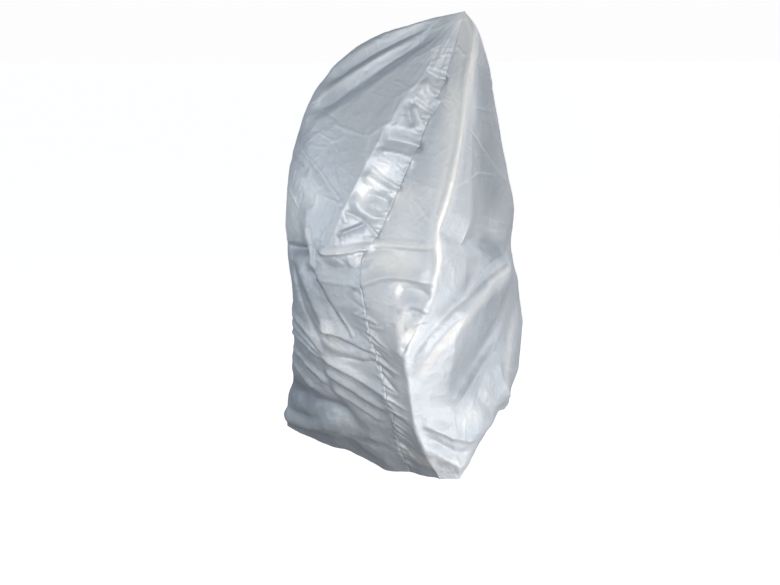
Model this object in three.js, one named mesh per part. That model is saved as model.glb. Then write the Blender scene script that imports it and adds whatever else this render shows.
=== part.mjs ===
// A hanging chair cover of coated cloth, as it hangs from its peak. The cover is hollow and open at
// the bottom. Two cut panels are sewn together along a near seam and a far seam: the pole panel goes
// round the closed side, and the mouth panel spans the open side. Millimetres, +Z up. The origin is
// under the peak, where the cover is held up, +X is the mouth's side, and -Y is the near side.
import * as THREE from 'three';

const CLOTH_THICK = 1.5;
const HEM_THICK = 2.6;
const HEM_WIDTH = 26;
// The hem thins to plain cloth between these shares of its width
const HEM_BLEND = { from: 0.6, to: 1.6 };
const PEAK_TO_HEM = 1600;
const SEAM_GAP = 0.4;
const TIP_THICK = 2.4;
const TIP_PART = 0.5;

// Rows of the net run from the tip to the hem, and the first one is a small ring round the tip
const ROWS = 54;
const FIRST_ROW_ALONG = 0.012;
const ROW_CROWDING = 1.04;
// The cloth is laid round at the tip, and its ridges are sharp from here on
const TIP_ROUND_END = 0.09;
// The cloth goes over from the roundness above the belly to the one in it between these places
const BELLY = { from: 0.56, to: 0.68 };
// Near the tip the cloth is laid flat, and its thickness there is straight up
const TIP_FLAT = { from: 0.03, to: 0.14 };

const PEAK = { along: 0, x: 0, y: 0, drop: 0 };

// Lines that the cloth is tight on, from the tip to the hem, in order round the cover. Each has its
// roundness above the belly and in it, 0 for a sharp edge and 1 for a smooth one, and the columns of
// the net up to the next line. A row says how far along the line it is, where it is, and its drop.
const LINES = [
  { name: 'pole', roundAbove: 0.8, roundBelow: 0.8, columns: 14, turns: [
    { along: 0.10, x: -161, y: 16, drop: 35 },
    { along: 0.20, x: -327, y: 34, drop: 94 },
    { along: 0.30, x: -460, y: 46, drop: 206 },
    { along: 0.40, x: -551, y: 44, drop: 372 },
    { along: 0.50, x: -597, y: 32, drop: 539 },
    { along: 0.60, x: -610, y: 14, drop: 724 },
    { along: 0.70, x: -601, y: 0, drop: 893 },
    { along: 0.80, x: -608, y: 0, drop: 1110 },
    { along: 0.90, x: -632, y: 0, drop: 1330 },
    { along: 1.00, x: -670, y: -10, drop: 1560 },
  ] },
  { name: 'dome_edge', roundAbove: 0.1, roundBelow: 1, columns: 8, turns: [
    { along: 0.13, x: -118, y: -62, drop: 170 },
    { along: 0.22, x: -206, y: -120, drop: 275 },
    { along: 0.30, x: -275, y: -177, drop: 381 },
    { along: 0.39, x: -350, y: -236, drop: 513 },
    { along: 0.50, x: -428, y: -270, drop: 670 },
    { along: 0.58, x: -479, y: -260, drop: 793 },
    { along: 0.66, x: -508, y: -232, drop: 945 },
    { along: 0.76, x: -524, y: -212, drop: 1105 },
    { along: 0.86, x: -538, y: -200, drop: 1268 },
    { along: 0.93, x: -548, y: -163, drop: 1406 },
    { along: 1.00, x: -527, y: -106, drop: 1569 },
  ] },
  { name: 'near_seam', roundAbove: 0.7, roundBelow: 0.7, columns: 7, turns: [
    { along: 0.12, x: -54, y: -64, drop: 180 },
    { along: 0.25, x: -133, y: -140, drop: 364 },
    { along: 0.37, x: -216, y: -204, drop: 539 },
    { along: 0.45, x: -271, y: -244, drop: 653 },
    { along: 0.51, x: -327, y: -281, drop: 725 },
    { along: 0.57, x: -325, y: -335, drop: 805 },
    { along: 0.64, x: -302, y: -370, drop: 930 },
    { along: 0.72, x: -268, y: -400, drop: 1046 },
    { along: 0.79, x: -241, y: -420, drop: 1155 },
    { along: 0.87, x: -214, y: -400, drop: 1300 },
    { along: 0.93, x: -199, y: -370, drop: 1397 },
    { along: 1.00, x: -167, y: -330, drop: 1536 },
  ] },
  { name: 'near_rim', roundAbove: 0.1, roundBelow: 0.1, columns: 4, turns: [
    { along: 0.055, x: 21, y: -50, drop: 72 },
    { along: 0.145, x: 1, y: -120, drop: 198 },
    { along: 0.275, x: -25, y: -230, drop: 384 },
    { along: 0.36, x: -57, y: -300, drop: 504 },
    { along: 0.44, x: -91, y: -360, drop: 620 },
    { along: 0.50, x: -90, y: -390, drop: 708 },
    { along: 0.57, x: -119, y: -420, drop: 827 },
    { along: 0.625, x: -154, y: -440, drop: 900 },
    { along: 0.67, x: -184, y: -455, drop: 963 },
    { along: 0.75, x: -175, y: -462, drop: 1093 },
    { along: 0.86, x: -147, y: -458, drop: 1265 },
    { along: 0.93, x: -109, y: -462, drop: 1360 },
    { along: 1.00, x: -65, y: -455, drop: 1465 },
  ] },
  { name: 'lip', roundAbove: 0.2, roundBelow: 0.2, columns: 6, turns: [
    { along: 0.05, x: 34, y: -22, drop: 50 },
    { along: 0.18, x: 26, y: -90, drop: 257 },
    { along: 0.34, x: 19, y: -192, drop: 494 },
    { along: 0.45, x: 19, y: -262, drop: 654 },
    { along: 0.52, x: 8, y: -290, drop: 752 },
    { along: 0.60, x: -1, y: -325, drop: 859 },
    { along: 0.68, x: -29, y: -370, drop: 987 },
    { along: 0.76, x: -36, y: -372, drop: 1132 },
    { along: 0.87, x: -28, y: -425, drop: 1282 },
    { along: 1.00, x: 8, y: -445, drop: 1461 },
  ] },
  { name: 'pocket', roundAbove: 1, roundBelow: 1, columns: 10, turns: [
    { along: 0.05, x: 40, y: 8, drop: 52 },
    { along: 0.12, x: 50, y: 20, drop: 145 },
    { along: 0.24, x: 74, y: 30, drop: 329 },
    { along: 0.37, x: 88, y: 40, drop: 532 },
    { along: 0.49, x: 104, y: 40, drop: 714 },
    { along: 0.55, x: 122, y: 0, drop: 800 },
    { along: 0.61, x: 158, y: -90, drop: 890 },
    { along: 0.68, x: 179, y: -72, drop: 1041 },
    { along: 0.735, x: 178, y: -75, drop: 1136 },
    { along: 0.80, x: 160, y: -160, drop: 1195 },
    { along: 0.87, x: 129, y: -250, drop: 1279 },
    { along: 0.94, x: 108, y: -306, drop: 1360 },
    { along: 1.00, x: 89, y: -316, drop: 1427 },
  ] },
  { name: 'far_rim', roundAbove: 0.1, roundBelow: 0.1, columns: 5, turns: [
    { along: 0.04, x: 39, y: 30, drop: 39 },
    { along: 0.09, x: 81, y: 60, drop: 118 },
    { along: 0.22, x: 145, y: 140, drop: 314 },
    { along: 0.37, x: 216, y: 220, drop: 541 },
    { along: 0.48, x: 264, y: 260, drop: 708 },
    { along: 0.58, x: 264, y: 258, drop: 862 },
    { along: 0.68, x: 298, y: 208, drop: 1030 },
    { along: 0.77, x: 314, y: 150, drop: 1170 },
    { along: 0.85, x: 308, y: 112, drop: 1286 },
    { along: 0.91, x: 288, y: 66, drop: 1351 },
    { along: 0.96, x: 258, y: 18, drop: 1407 },
    { along: 1.00, x: 234, y: -30, drop: 1467 },
  ] },
  { name: 'far_flank', roundAbove: 0.8, roundBelow: 0.8, columns: 5, turns: [
    { along: 0.08, x: 38, y: 52, drop: 98 },
    { along: 0.22, x: 70, y: 185, drop: 306 },
    { along: 0.37, x: 112, y: 292, drop: 538 },
    { along: 0.50, x: 140, y: 352, drop: 740 },
    { along: 0.62, x: 170, y: 370, drop: 930 },
    { along: 0.75, x: 184, y: 352, drop: 1135 },
    { along: 0.88, x: 180, y: 330, drop: 1345 },
    { along: 1.00, x: 142, y: 290, drop: 1515 },
  ] },
  { name: 'far_seam', roundAbove: 0.6, roundBelow: 0.6, columns: 6, turns: [
    { along: 0.10, x: -24, y: 72, drop: 138 },
    { along: 0.22, x: -54, y: 170, drop: 308 },
    { along: 0.37, x: -92, y: 292, drop: 534 },
    { along: 0.50, x: -112, y: 382, drop: 738 },
    { along: 0.62, x: -108, y: 424, drop: 935 },
    { along: 0.75, x: -96, y: 436, drop: 1140 },
    { along: 0.88, x: -88, y: 418, drop: 1345 },
    { along: 1.00, x: -92, y: 372, drop: 1528 },
  ] },
  { name: 'far_dome_edge', roundAbove: 0.4, roundBelow: 0.4, columns: 7, turns: [
    { along: 0.12, x: -118, y: 46, drop: 142 },
    { along: 0.24, x: -230, y: 112, drop: 292 },
    { along: 0.37, x: -326, y: 196, drop: 486 },
    { along: 0.50, x: -392, y: 266, drop: 690 },
    { along: 0.62, x: -428, y: 290, drop: 890 },
    { along: 0.75, x: -444, y: 282, drop: 1108 },
    { along: 0.88, x: -458, y: 262, drop: 1330 },
    { along: 1.00, x: -452, y: 236, drop: 1522 },
  ] },
];

// Folds in the cloth, by side. Each runs from x1, drop1 to x2, drop2 as seen from the front, bowed
// down by bow in its middle. It stands out by rise, or sinks in where rise is negative, and fades
// out over its reach above and below its line, or to the right and left of one that runs down.
// Its ends run out softly: they start this share of its length before it and are full by inside.
const FOLD_ENDS = { before: 0.1, inside: 0.15 };
const FOLDS = {
  near: [
    { name: 'dome_trough_high', x1: -95, drop1: 34, x2: -446, drop2: 208,
      bow: -14, above: 26, below: 34, rise: -20 },
    { name: 'dome_trough_low', x1: -90, drop1: 54, x2: -484, drop2: 298,
      bow: -4, above: 28, below: 42, rise: -22 },
    { name: 'lap_lobe', x1: -490, drop1: 590, x2: -500, drop2: 700,
      bow: 0, above: 55, below: 45, rise: 12 },
    { name: 'strip_tuck_1', x1: -114, drop1: 168, x2: -50, drop2: 196,
      bow: 0, above: 24, below: 34, rise: -13 },
    { name: 'strip_tuck_2', x1: -160, drop1: 262, x2: -102, drop2: 294,
      bow: 0, above: 24, below: 34, rise: -13 },
    { name: 'strip_tuck_3', x1: -252, drop1: 362, x2: -134, drop2: 392,
      bow: -4, above: 36, below: 36, rise: -19 },
    { name: 'strip_lobe_3', x1: -270, drop1: 394, x2: -160, drop2: 424,
      bow: -4, above: 24, below: 36, rise: 9 },
    { name: 'strip_tuck_4', x1: -297, drop1: 446, x2: -200, drop2: 514,
      bow: 6, above: 24, below: 30, rise: -11 },
    { name: 'strip_tuck_5', x1: -314, drop1: 522, x2: -230, drop2: 566,
      bow: -4, above: 24, below: 34, rise: -13 },
    { name: 'strip_lobe_5', x1: -350, drop1: 545, x2: -262, drop2: 606,
      bow: 16, above: 30, below: 28, rise: 12 },
    { name: 'waist_pleat', x1: -397, drop1: 646, x2: -314, drop2: 616,
      bow: 0, above: 24, below: 30, rise: 8 },
    { name: 'lap_fold', x1: -460, drop1: 640, x2: -490, drop2: 775,
      bow: 0, above: 60, below: 28, rise: 16 },
    { name: 'pole_tuck', x1: -596, drop1: 770, x2: -505, drop2: 715,
      bow: -4, above: 30, below: 50, rise: -24 },
    { name: 'waist_roll', x1: -465, drop1: 712, x2: -300, drop2: 690,
      bow: 0, above: 36, below: 28, rise: 15 },
    { name: 'waist_line', x1: -340, drop1: 694, x2: -130, drop2: 655,
      bow: 0, above: 30, below: 26, rise: 8 },
    { name: 'waist_hollow', x1: -450, drop1: 752, x2: -320, drop2: 748,
      bow: 6, above: 32, below: 38, rise: -8 },
    { name: 'belly_lap', x1: -352, drop1: 812, x2: -112, drop2: 786,
      bow: -26, above: 60, below: 26, rise: 18 },
    { name: 'belly_soft', x1: -215, drop1: 770, x2: -205, drop2: 1010,
      bow: 0, above: 46, below: 36, rise: 5 },
    { name: 'chin_hollow', x1: -210, drop1: 800, x2: -115, drop2: 800,
      bow: -16, above: 26, below: 46, rise: -13 },
    { name: 'chin_fold', x1: -205, drop1: 855, x2: -120, drop2: 845,
      bow: -18, above: 30, below: 28, rise: 9 },
    { name: 'pole_roll', x1: -540, drop1: 775, x2: -425, drop2: 1000,
      bow: 4, above: 38, below: 36, rise: 15 },
    { name: 'pole_roll_right', x1: -492, drop1: 776, x2: -366, drop2: 970,
      bow: 6, above: 26, below: 30, rise: -10 },
    { name: 'pole_roll_left', x1: -580, drop1: 796, x2: -464, drop2: 1037,
      bow: 16, above: 26, below: 26, rise: -10 },
    { name: 'fan_high', x1: -602, drop1: 1008, x2: -466, drop2: 1076,
      bow: -28, above: 28, below: 26, rise: 10 },
    { name: 'fan_low', x1: -606, drop1: 1105, x2: -478, drop2: 1096,
      bow: -20, above: 26, below: 26, rise: 8 },
    { name: 'step_fold', x1: -482, drop1: 972, x2: -288, drop2: 1004,
      bow: -6, above: 46, below: 28, rise: 13 },
    { name: 'step_facet', x1: -466, drop1: 1030, x2: -292, drop2: 1034,
      bow: 4, above: 34, below: 30, rise: 7 },
    { name: 'long_sweep', x1: -470, drop1: 1090, x2: -240, drop2: 1152,
      bow: -8, above: 32, below: 26, rise: 13 },
    { name: 'second_sweep', x1: -462, drop1: 1136, x2: -250, drop2: 1216,
      bow: -4, above: 30, below: 28, rise: 10 },
    { name: 'third_sweep', x1: -440, drop1: 1196, x2: -262, drop2: 1270,
      bow: -4, above: 30, below: 28, rise: 7 },
    { name: 'low_curve', x1: -466, drop1: 1116, x2: -392, drop2: 1266,
      bow: 16, above: 28, below: 32, rise: -8 },
    { name: 'flank_fan_1', x1: -604, drop1: 1165, x2: -452, drop2: 1186,
      bow: -18, above: 28, below: 28, rise: 8 },
    { name: 'flank_fan_2', x1: -610, drop1: 1225, x2: -440, drop2: 1262,
      bow: -20, above: 28, below: 28, rise: 7 },
    { name: 'belly_under', x1: -630, drop1: 1372, x2: -360, drop2: 1312,
      bow: -40, above: 84, below: 66, rise: -34 },
    { name: 'corner_roll', x1: -668, drop1: 1520, x2: -430, drop2: 1350,
      bow: 12, above: 46, below: 52, rise: 26 },
    { name: 'hem_belly', x1: -490, drop1: 1450, x2: -270, drop2: 1350,
      bow: 0, above: 60, below: 50, rise: 11 },
    { name: 'pocket_floor', x1: -80, drop1: 605, x2: 185, drop2: 820,
      bow: 2, above: 70, below: 40, rise: -26 },
    { name: 'mouth_ridge', x1: 225, drop1: 890, x2: -165, drop2: 1020,
      bow: -86, above: 50, below: 100, rise: 26 },
    { name: 'facet_floor', x1: 190, drop1: 1060, x2: -10, drop2: 1195,
      bow: -8, above: 90, below: 34, rise: -12 },
    { name: 'rim_knuckle', x1: 140, drop1: 1135, x2: 255, drop2: 1500,
      bow: -6, above: 38, below: 34, rise: 13 },
    { name: 'rim_pinch', x1: 75, drop1: 1230, x2: 225, drop2: 1480,
      bow: -10, above: 28, below: 40, rise: -12 },
    { name: 'hem_swag', x1: -120, drop1: 1245, x2: 60, drop2: 1360,
      bow: -2, above: 44, below: 30, rise: 11 },
    { name: 'hem_hollow', x1: -110, drop1: 1290, x2: 40, drop2: 1390,
      bow: 4, above: 28, below: 40, rise: -9 },
  ],
  far: [
    { name: 'far_dome_trough', x1: -110, drop1: 70, x2: -440, drop2: 350,
      bow: -24, above: 44, below: 44, rise: -16 },
    { name: 'far_dome_roll', x1: -70, drop1: 96, x2: -330, drop2: 440,
      bow: -12, above: 40, below: 46, rise: 11 },
    { name: 'far_seam_pull', x1: 10, drop1: 250, x2: -210, drop2: 470,
      bow: 14, above: 40, below: 40, rise: -12 },
    { name: 'far_mouth_pleat', x1: 110, drop1: 280, x2: 20, drop2: 660,
      bow: 0, above: 46, below: 40, rise: 13 },
    { name: 'far_waist_roll', x1: -520, drop1: 742, x2: 190, drop2: 712,
      bow: 26, above: 66, below: 34, rise: 18 },
    { name: 'far_waist_hollow', x1: -480, drop1: 806, x2: 150, drop2: 776,
      bow: 26, above: 30, below: 52, rise: -14 },
    { name: 'far_sweep_1', x1: -560, drop1: 905, x2: -60, drop2: 1085,
      bow: 30, above: 56, below: 34, rise: 16 },
    { name: 'far_sweep_2', x1: -600, drop1: 1050, x2: -90, drop2: 1235,
      bow: 34, above: 50, below: 36, rise: 15 },
    { name: 'far_sweep_3', x1: -560, drop1: 1190, x2: -160, drop2: 1340,
      bow: 20, above: 44, below: 48, rise: 10 },
    { name: 'far_flank_ridge', x1: 250, drop1: 960, x2: -30, drop2: 1200,
      bow: 10, above: 52, below: 60, rise: 18 },
    { name: 'far_flank_hollow', x1: 230, drop1: 1120, x2: 20, drop2: 1330,
      bow: 0, above: 44, below: 50, rise: -13 },
    { name: 'far_hem_swag', x1: -420, drop1: 1420, x2: 60, drop2: 1440,
      bow: 30, above: 44, below: 36, rise: 13 },
  ],
};
// The far rim and the pole are where the two sides meet, and a side's folds fade out past them
const SIDE_FADE_COLUMNS = 5;

// The cloth turns in at its hem, and hangs lower in swags
const HEM_TURN = { from: 0.94, depth: 7 };
const HEM_SWAG_FROM = 0.8;
const HEM_SWAGS = {
  near: [
    { x: -255, reach: 110, drop: 24 },
    { x: -395, reach: 70, drop: -12 },
    { x: 20, reach: 90, drop: 10 },
    { x: 195, reach: 50, drop: -16 },
  ],
  far: [
    { x: -300, reach: 120, drop: 20 },
    { x: -60, reach: 90, drop: -16 },
    { x: 130, reach: 90, drop: 14 },
  ],
};

const POLE_COLOUR = 0xb4bdc8;
const MOUTH_COLOUR = 0xc0c7cd;
const CLOTH_FINISH = { roughness: 0.5, metalness: 0.1 };

function mix(a, b, t) {
  return a + (b - a) * t;
}

function ease(from, to, value) {
  const t = Math.min(1, Math.max(0, (value - from) / (to - from)));
  return t * t * (3 - 2 * t);
}

// A smooth curve through a line's rows, with slopes that fit rows spaced unevenly
function pointOnLine(line, along) {
  const rows = [PEAK, ...line.turns];
  let i = 0;
  while (i < rows.length - 2 && rows[i + 1].along < along) i += 1;
  const span = (k) => rows[k + 1].along - rows[k].along;
  const slope = (k, key) => (rows[k + 1][key] - rows[k][key]) / span(k);
  const slopeAt = (k, key) => {
    if (k === 0) return slope(0, key);
    if (k === rows.length - 1) return slope(k - 1, key);
    return (slope(k - 1, key) * span(k) + slope(k, key) * span(k - 1)) / (span(k - 1) + span(k));
  };
  const t = (along - rows[i].along) / span(i);
  const curve = (key) => {
    const start = rows[i][key];
    const end = rows[i + 1][key];
    const out = slopeAt(i, key) * span(i);
    const into = slopeAt(i + 1, key) * span(i);
    return start * (1 + 2 * t) * (1 - t) ** 2 + end * t * t * (3 - 2 * t)
      + out * t * (1 - t) ** 2 - into * t * t * (1 - t);
  };
  return new THREE.Vector3(curve('x'), curve('y'), -curve('drop'));
}

// One closed section of the cover: round where its lines are round, straight into a sharp one
function section(along) {
  const corners = LINES.map((line) => pointOnLine(line, along));
  const count = LINES.length;
  const sharpness = ease(0, TIP_ROUND_END, along);
  const at = (k) => corners[(k + count) % count];
  const chord = (k) => at(k + 1).clone().sub(at(k));
  const tangent = (k) => {
    const before = chord(k - 1);
    const after = chord(k);
    const a = before.length();
    const b = after.length();
    return before.multiplyScalar(b / a).add(after.multiplyScalar(a / b)).divideScalar(a + b);
  };
  const belly = ease(BELLY.from, BELLY.to, along);
  const roundness = (k) => {
    const line = LINES[(k + count) % count];
    return mix(1, mix(line.roundAbove, line.roundBelow, belly), sharpness);
  };
  const points = [];
  LINES.forEach((line, k) => {
    const reach = chord(k);
    const length = reach.length();
    const out = tangent(k).multiplyScalar(length).lerp(reach, 1 - roundness(k));
    const into = tangent(k + 1).multiplyScalar(length).lerp(reach, 1 - roundness(k + 1));
    for (let c = 0; c < line.columns; c += 1) {
      const t = c / line.columns;
      const point = at(k).clone().multiplyScalar((1 + 2 * t) * (1 - t) ** 2);
      point.addScaledVector(at(k + 1), t * t * (3 - 2 * t));
      point.addScaledVector(out, t * (1 - t) ** 2);
      point.addScaledVector(into, -t * t * (1 - t));
      points.push(point);
    }
  });
  return points;
}

function rowAlong(row) {
  return mix(FIRST_ROW_ALONG, 1, (row / (ROWS - 1)) ** ROW_CROWDING);
}

// Outward directions of a net that is closed round, from its neighbours on both sides
function netNormals(net) {
  const columns = net[0].length;
  return net.map((row, r) => row.map((point, c) => {
    const above = net[Math.max(0, r - 1)][c];
    const below = net[Math.min(net.length - 1, r + 1)][c];
    const left = row[(c + columns - 1) % columns];
    const right = row[(c + 1) % columns];
    return above.clone().sub(below).cross(left.clone().sub(right)).normalize();
  }));
}

// How much a column belongs to the near side, from 1 there to 0 on the far side
function nearness(column, columns) {
  const farStart = columnOf('far_rim');
  const past = Math.min(Math.max(0, column - farStart), columns - column);
  return 1 - ease(0, SIDE_FADE_COLUMNS, past);
}

// How far a fold lifts the cloth at a place that is seen at x and drop
function foldLift(fold, x, drop) {
  const runX = fold.x2 - fold.x1;
  const runDrop = fold.drop2 - fold.drop1;
  const length = Math.hypot(runX, runDrop);
  const flip = runX < 0 ? -1 : 1;
  const s = ((x - fold.x1) * runX + (drop - fold.drop1) * runDrop) / length ** 2;
  const across = (flip * ((drop - fold.drop1) * runX - (x - fold.x1) * runDrop)) / length;
  const off = across - 4 * fold.bow * s * (1 - s);
  const away = Math.abs(off) / (off > 0 ? fold.below : fold.above);
  const nearEnd = Math.min(s, 1 - s);
  if (away >= 1 || nearEnd <= -FOLD_ENDS.before) return 0;
  const ends = ease(-FOLD_ENDS.before, FOLD_ENDS.inside, nearEnd);
  return fold.rise * ends * (1 - away) ** 2 * (1 + 2 * away);
}

function outerSkin() {
  const net = [];
  for (let row = 0; row < ROWS; row += 1) net.push(section(rowAlong(row)));
  const normals = netNormals(net);
  return net.map((points, r) => points.map((point, c) => {
    const near = nearness(c, points.length);
    const along = rowAlong(r);
    const moved = point.clone();
    let lift = -HEM_TURN.depth * ease(HEM_TURN.from, 1, along);
    [['near', near], ['far', 1 - near]].forEach(([side, share]) => {
      FOLDS[side].forEach((fold) => {
        lift += share * foldLift(fold, point.x, -point.z);
      });
      HEM_SWAGS[side].forEach((swag) => {
        const close = 1 - ease(0, swag.reach, Math.abs(point.x - swag.x));
        moved.z -= swag.drop * share * close * ease(HEM_SWAG_FROM, 1, along);
      });
    });
    moved.addScaledVector(normals[r][c], lift);
    moved.z += TIP_THICK;
    return moved;
  }));
}

// The inner skin lies a cloth's thickness inside the outer one, straight below it near the tip
function innerSkin(outer) {
  const normals = netNormals(outer);
  return outer.map((row, r) => row.map((point, c) => {
    const along = rowAlong(r);
    const inward = ease(TIP_FLAT.from, TIP_FLAT.to, along);
    const toHem = (1 - along) * PEAK_TO_HEM;
    const pastHem = ease(HEM_WIDTH * HEM_BLEND.from, HEM_WIDTH * HEM_BLEND.to, toHem);
    const thick = mix(HEM_THICK, CLOTH_THICK, pastHem);
    const inner = point.clone().addScaledVector(normals[r][c], -thick * inward);
    inner.z -= TIP_THICK * (1 - inward);
    return inner;
  }));
}

function columnOf(name) {
  let column = 0;
  for (const line of LINES) {
    if (line.name === name) return column;
    column += line.columns;
  }
  throw new Error(`no line called ${name}`);
}

// One panel, from one seam round to the other: two skins joined by rims, with its own tip
function panelGeometry(outer, inner, fromColumn, toColumn, tipShift) {
  const columns = outer[0].length;
  const width = ((toColumn - fromColumn + columns) % columns) + 1;
  const vertices = [];
  const pickSkin = (net) => {
    const first = vertices.length;
    net.forEach((row) => {
      for (let c = 0; c < width; c += 1) {
        const column = (fromColumn + c) % columns;
        const point = row[column].clone();
        if (c === 0 || c === width - 1) {
          const inside = row[(column + (c === 0 ? 1 : columns - 1)) % columns];
          const step = inside.clone().sub(point);
          point.addScaledVector(step.normalize(), SEAM_GAP / 2);
        }
        vertices.push(point);
      }
    });
    return first;
  };
  const outerFirst = pickSkin(outer);
  const innerFirst = pickSkin(inner);
  const outerTip = vertices.push(new THREE.Vector3(tipShift, 0, TIP_THICK)) - 1;
  const innerTip = vertices.push(new THREE.Vector3(tipShift, 0, 0)) - 1;
  const faces = [];
  const gap = (a, b) => vertices[a].distanceTo(vertices[b]);
  const quad = (a, b, c, d) => {
    if (gap(a, c) <= gap(b, d)) faces.push(a, b, c, a, c, d);
    else faces.push(b, c, d, b, d, a);
  };
  const out = (r, c) => outerFirst + r * width + c;
  const inn = (r, c) => innerFirst + r * width + c;
  for (let r = 0; r < ROWS - 1; r += 1) {
    for (let c = 0; c < width - 1; c += 1) {
      quad(out(r, c), out(r + 1, c), out(r + 1, c + 1), out(r, c + 1));
      quad(inn(r, c), inn(r, c + 1), inn(r + 1, c + 1), inn(r + 1, c));
    }
    quad(out(r, 0), inn(r, 0), inn(r + 1, 0), out(r + 1, 0));
    quad(out(r, width - 1), out(r + 1, width - 1), inn(r + 1, width - 1), inn(r, width - 1));
  }
  for (let c = 0; c < width - 1; c += 1) {
    faces.push(outerTip, out(0, c), out(0, c + 1));
    faces.push(innerTip, inn(0, c + 1), inn(0, c));
    quad(out(ROWS - 1, c), inn(ROWS - 1, c), inn(ROWS - 1, c + 1), out(ROWS - 1, c + 1));
  }
  quad(outerTip, innerTip, inn(0, 0), out(0, 0));
  quad(outerTip, out(0, width - 1), inn(0, width - 1), innerTip);
  const geometry = new THREE.BufferGeometry().setFromPoints(vertices);
  geometry.setIndex(faces);
  geometry.computeVertexNormals();
  return geometry;
}

function panel(name, geometry, colour) {
  const material = new THREE.MeshStandardMaterial({ color: colour, ...CLOTH_FINISH });
  const mesh = new THREE.Mesh(geometry, material);
  mesh.name = name;
  return mesh;
}

const outer = outerSkin();
const inner = innerSkin(outer);
const nearSeam = columnOf('near_seam');
const farSeam = columnOf('far_seam');

const cover = new THREE.Group();
cover.add(panel('pole_panel', panelGeometry(outer, inner, farSeam, nearSeam, -TIP_PART), POLE_COLOUR));
cover.add(panel('mouth_panel', panelGeometry(outer, inner, nearSeam, farSeam, TIP_PART), MOUTH_COLOUR));

export default cover;
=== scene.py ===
"""A hanging chair cover, as it hangs: its coated cloth, folds, seams and hem."""

from __future__ import annotations

import logging
import math
from dataclasses import dataclass, field
from enum import Enum

import bmesh
import bpy
import numpy as np
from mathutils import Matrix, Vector

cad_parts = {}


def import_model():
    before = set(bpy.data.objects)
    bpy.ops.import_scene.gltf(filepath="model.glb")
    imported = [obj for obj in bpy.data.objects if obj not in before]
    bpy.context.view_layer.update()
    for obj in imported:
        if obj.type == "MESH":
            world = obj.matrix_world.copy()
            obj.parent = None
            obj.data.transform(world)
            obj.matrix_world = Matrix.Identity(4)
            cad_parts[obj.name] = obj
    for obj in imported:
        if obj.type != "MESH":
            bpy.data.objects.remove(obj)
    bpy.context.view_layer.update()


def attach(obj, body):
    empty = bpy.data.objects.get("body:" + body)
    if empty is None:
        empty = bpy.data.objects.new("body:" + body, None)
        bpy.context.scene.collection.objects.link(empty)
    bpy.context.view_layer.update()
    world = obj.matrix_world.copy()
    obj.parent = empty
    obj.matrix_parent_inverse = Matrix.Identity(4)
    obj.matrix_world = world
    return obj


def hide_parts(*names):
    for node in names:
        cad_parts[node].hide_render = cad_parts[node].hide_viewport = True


LOG = logging.getLogger("cover")
MM = 0.001
BODY = "root"
SEED = 20
# How far the cloth's outer face stands above the origin at the peak, in millimetres
TIP_THICK = 2.4
# How far along a fold's run, from 0 to 1, it fades in and out
FADE_IN = (-0.1, 0.15)
FADE_OUT = (0.85, 1.1)
OPEN_FADE = (0.1, 1.0)


class Side(Enum):
    """The side of the cover that a fold lies on."""

    NEAR = "near"
    FAR = "far"


@dataclass(frozen=True)
class Turn:
    """A place on a tight line, in millimetres, and how far along the line it is, 0 to 1."""

    along: float
    x: float
    y: float
    drop: float


@dataclass(frozen=True)
class TightLine:
    """A line from the tip to the hem that the cloth is tight on."""

    name: str
    roundness: float
    columns: int
    turns: tuple[Turn, ...]
    low_roundness: float | None = None


@dataclass(frozen=True)
class Fold:
    """A fold seen at x and drop, in millimetres. It fades out over its reach to each side.

    A crisp fold has a sharp crest, and one with a crispness below 0 has a flat top. One that leans
    hangs over to the side that its reach below is on. One that starts open has its full rise there.
    """

    name: str
    x1: float
    drop1: float
    x2: float
    drop2: float
    bow: float
    above: float
    below: float
    rise: float
    crisp: float = 0.0
    lean: float = 0.0
    open_start: bool = False


def turns(*rows: tuple[float, float, float, float]) -> tuple[Turn, ...]:
    """The turns of a line from rows of along, x, y and drop."""
    return tuple(Turn(*row) for row in rows)


PEAK = Turn(0.0, 0.0, 0.0, 0.0)

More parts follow.
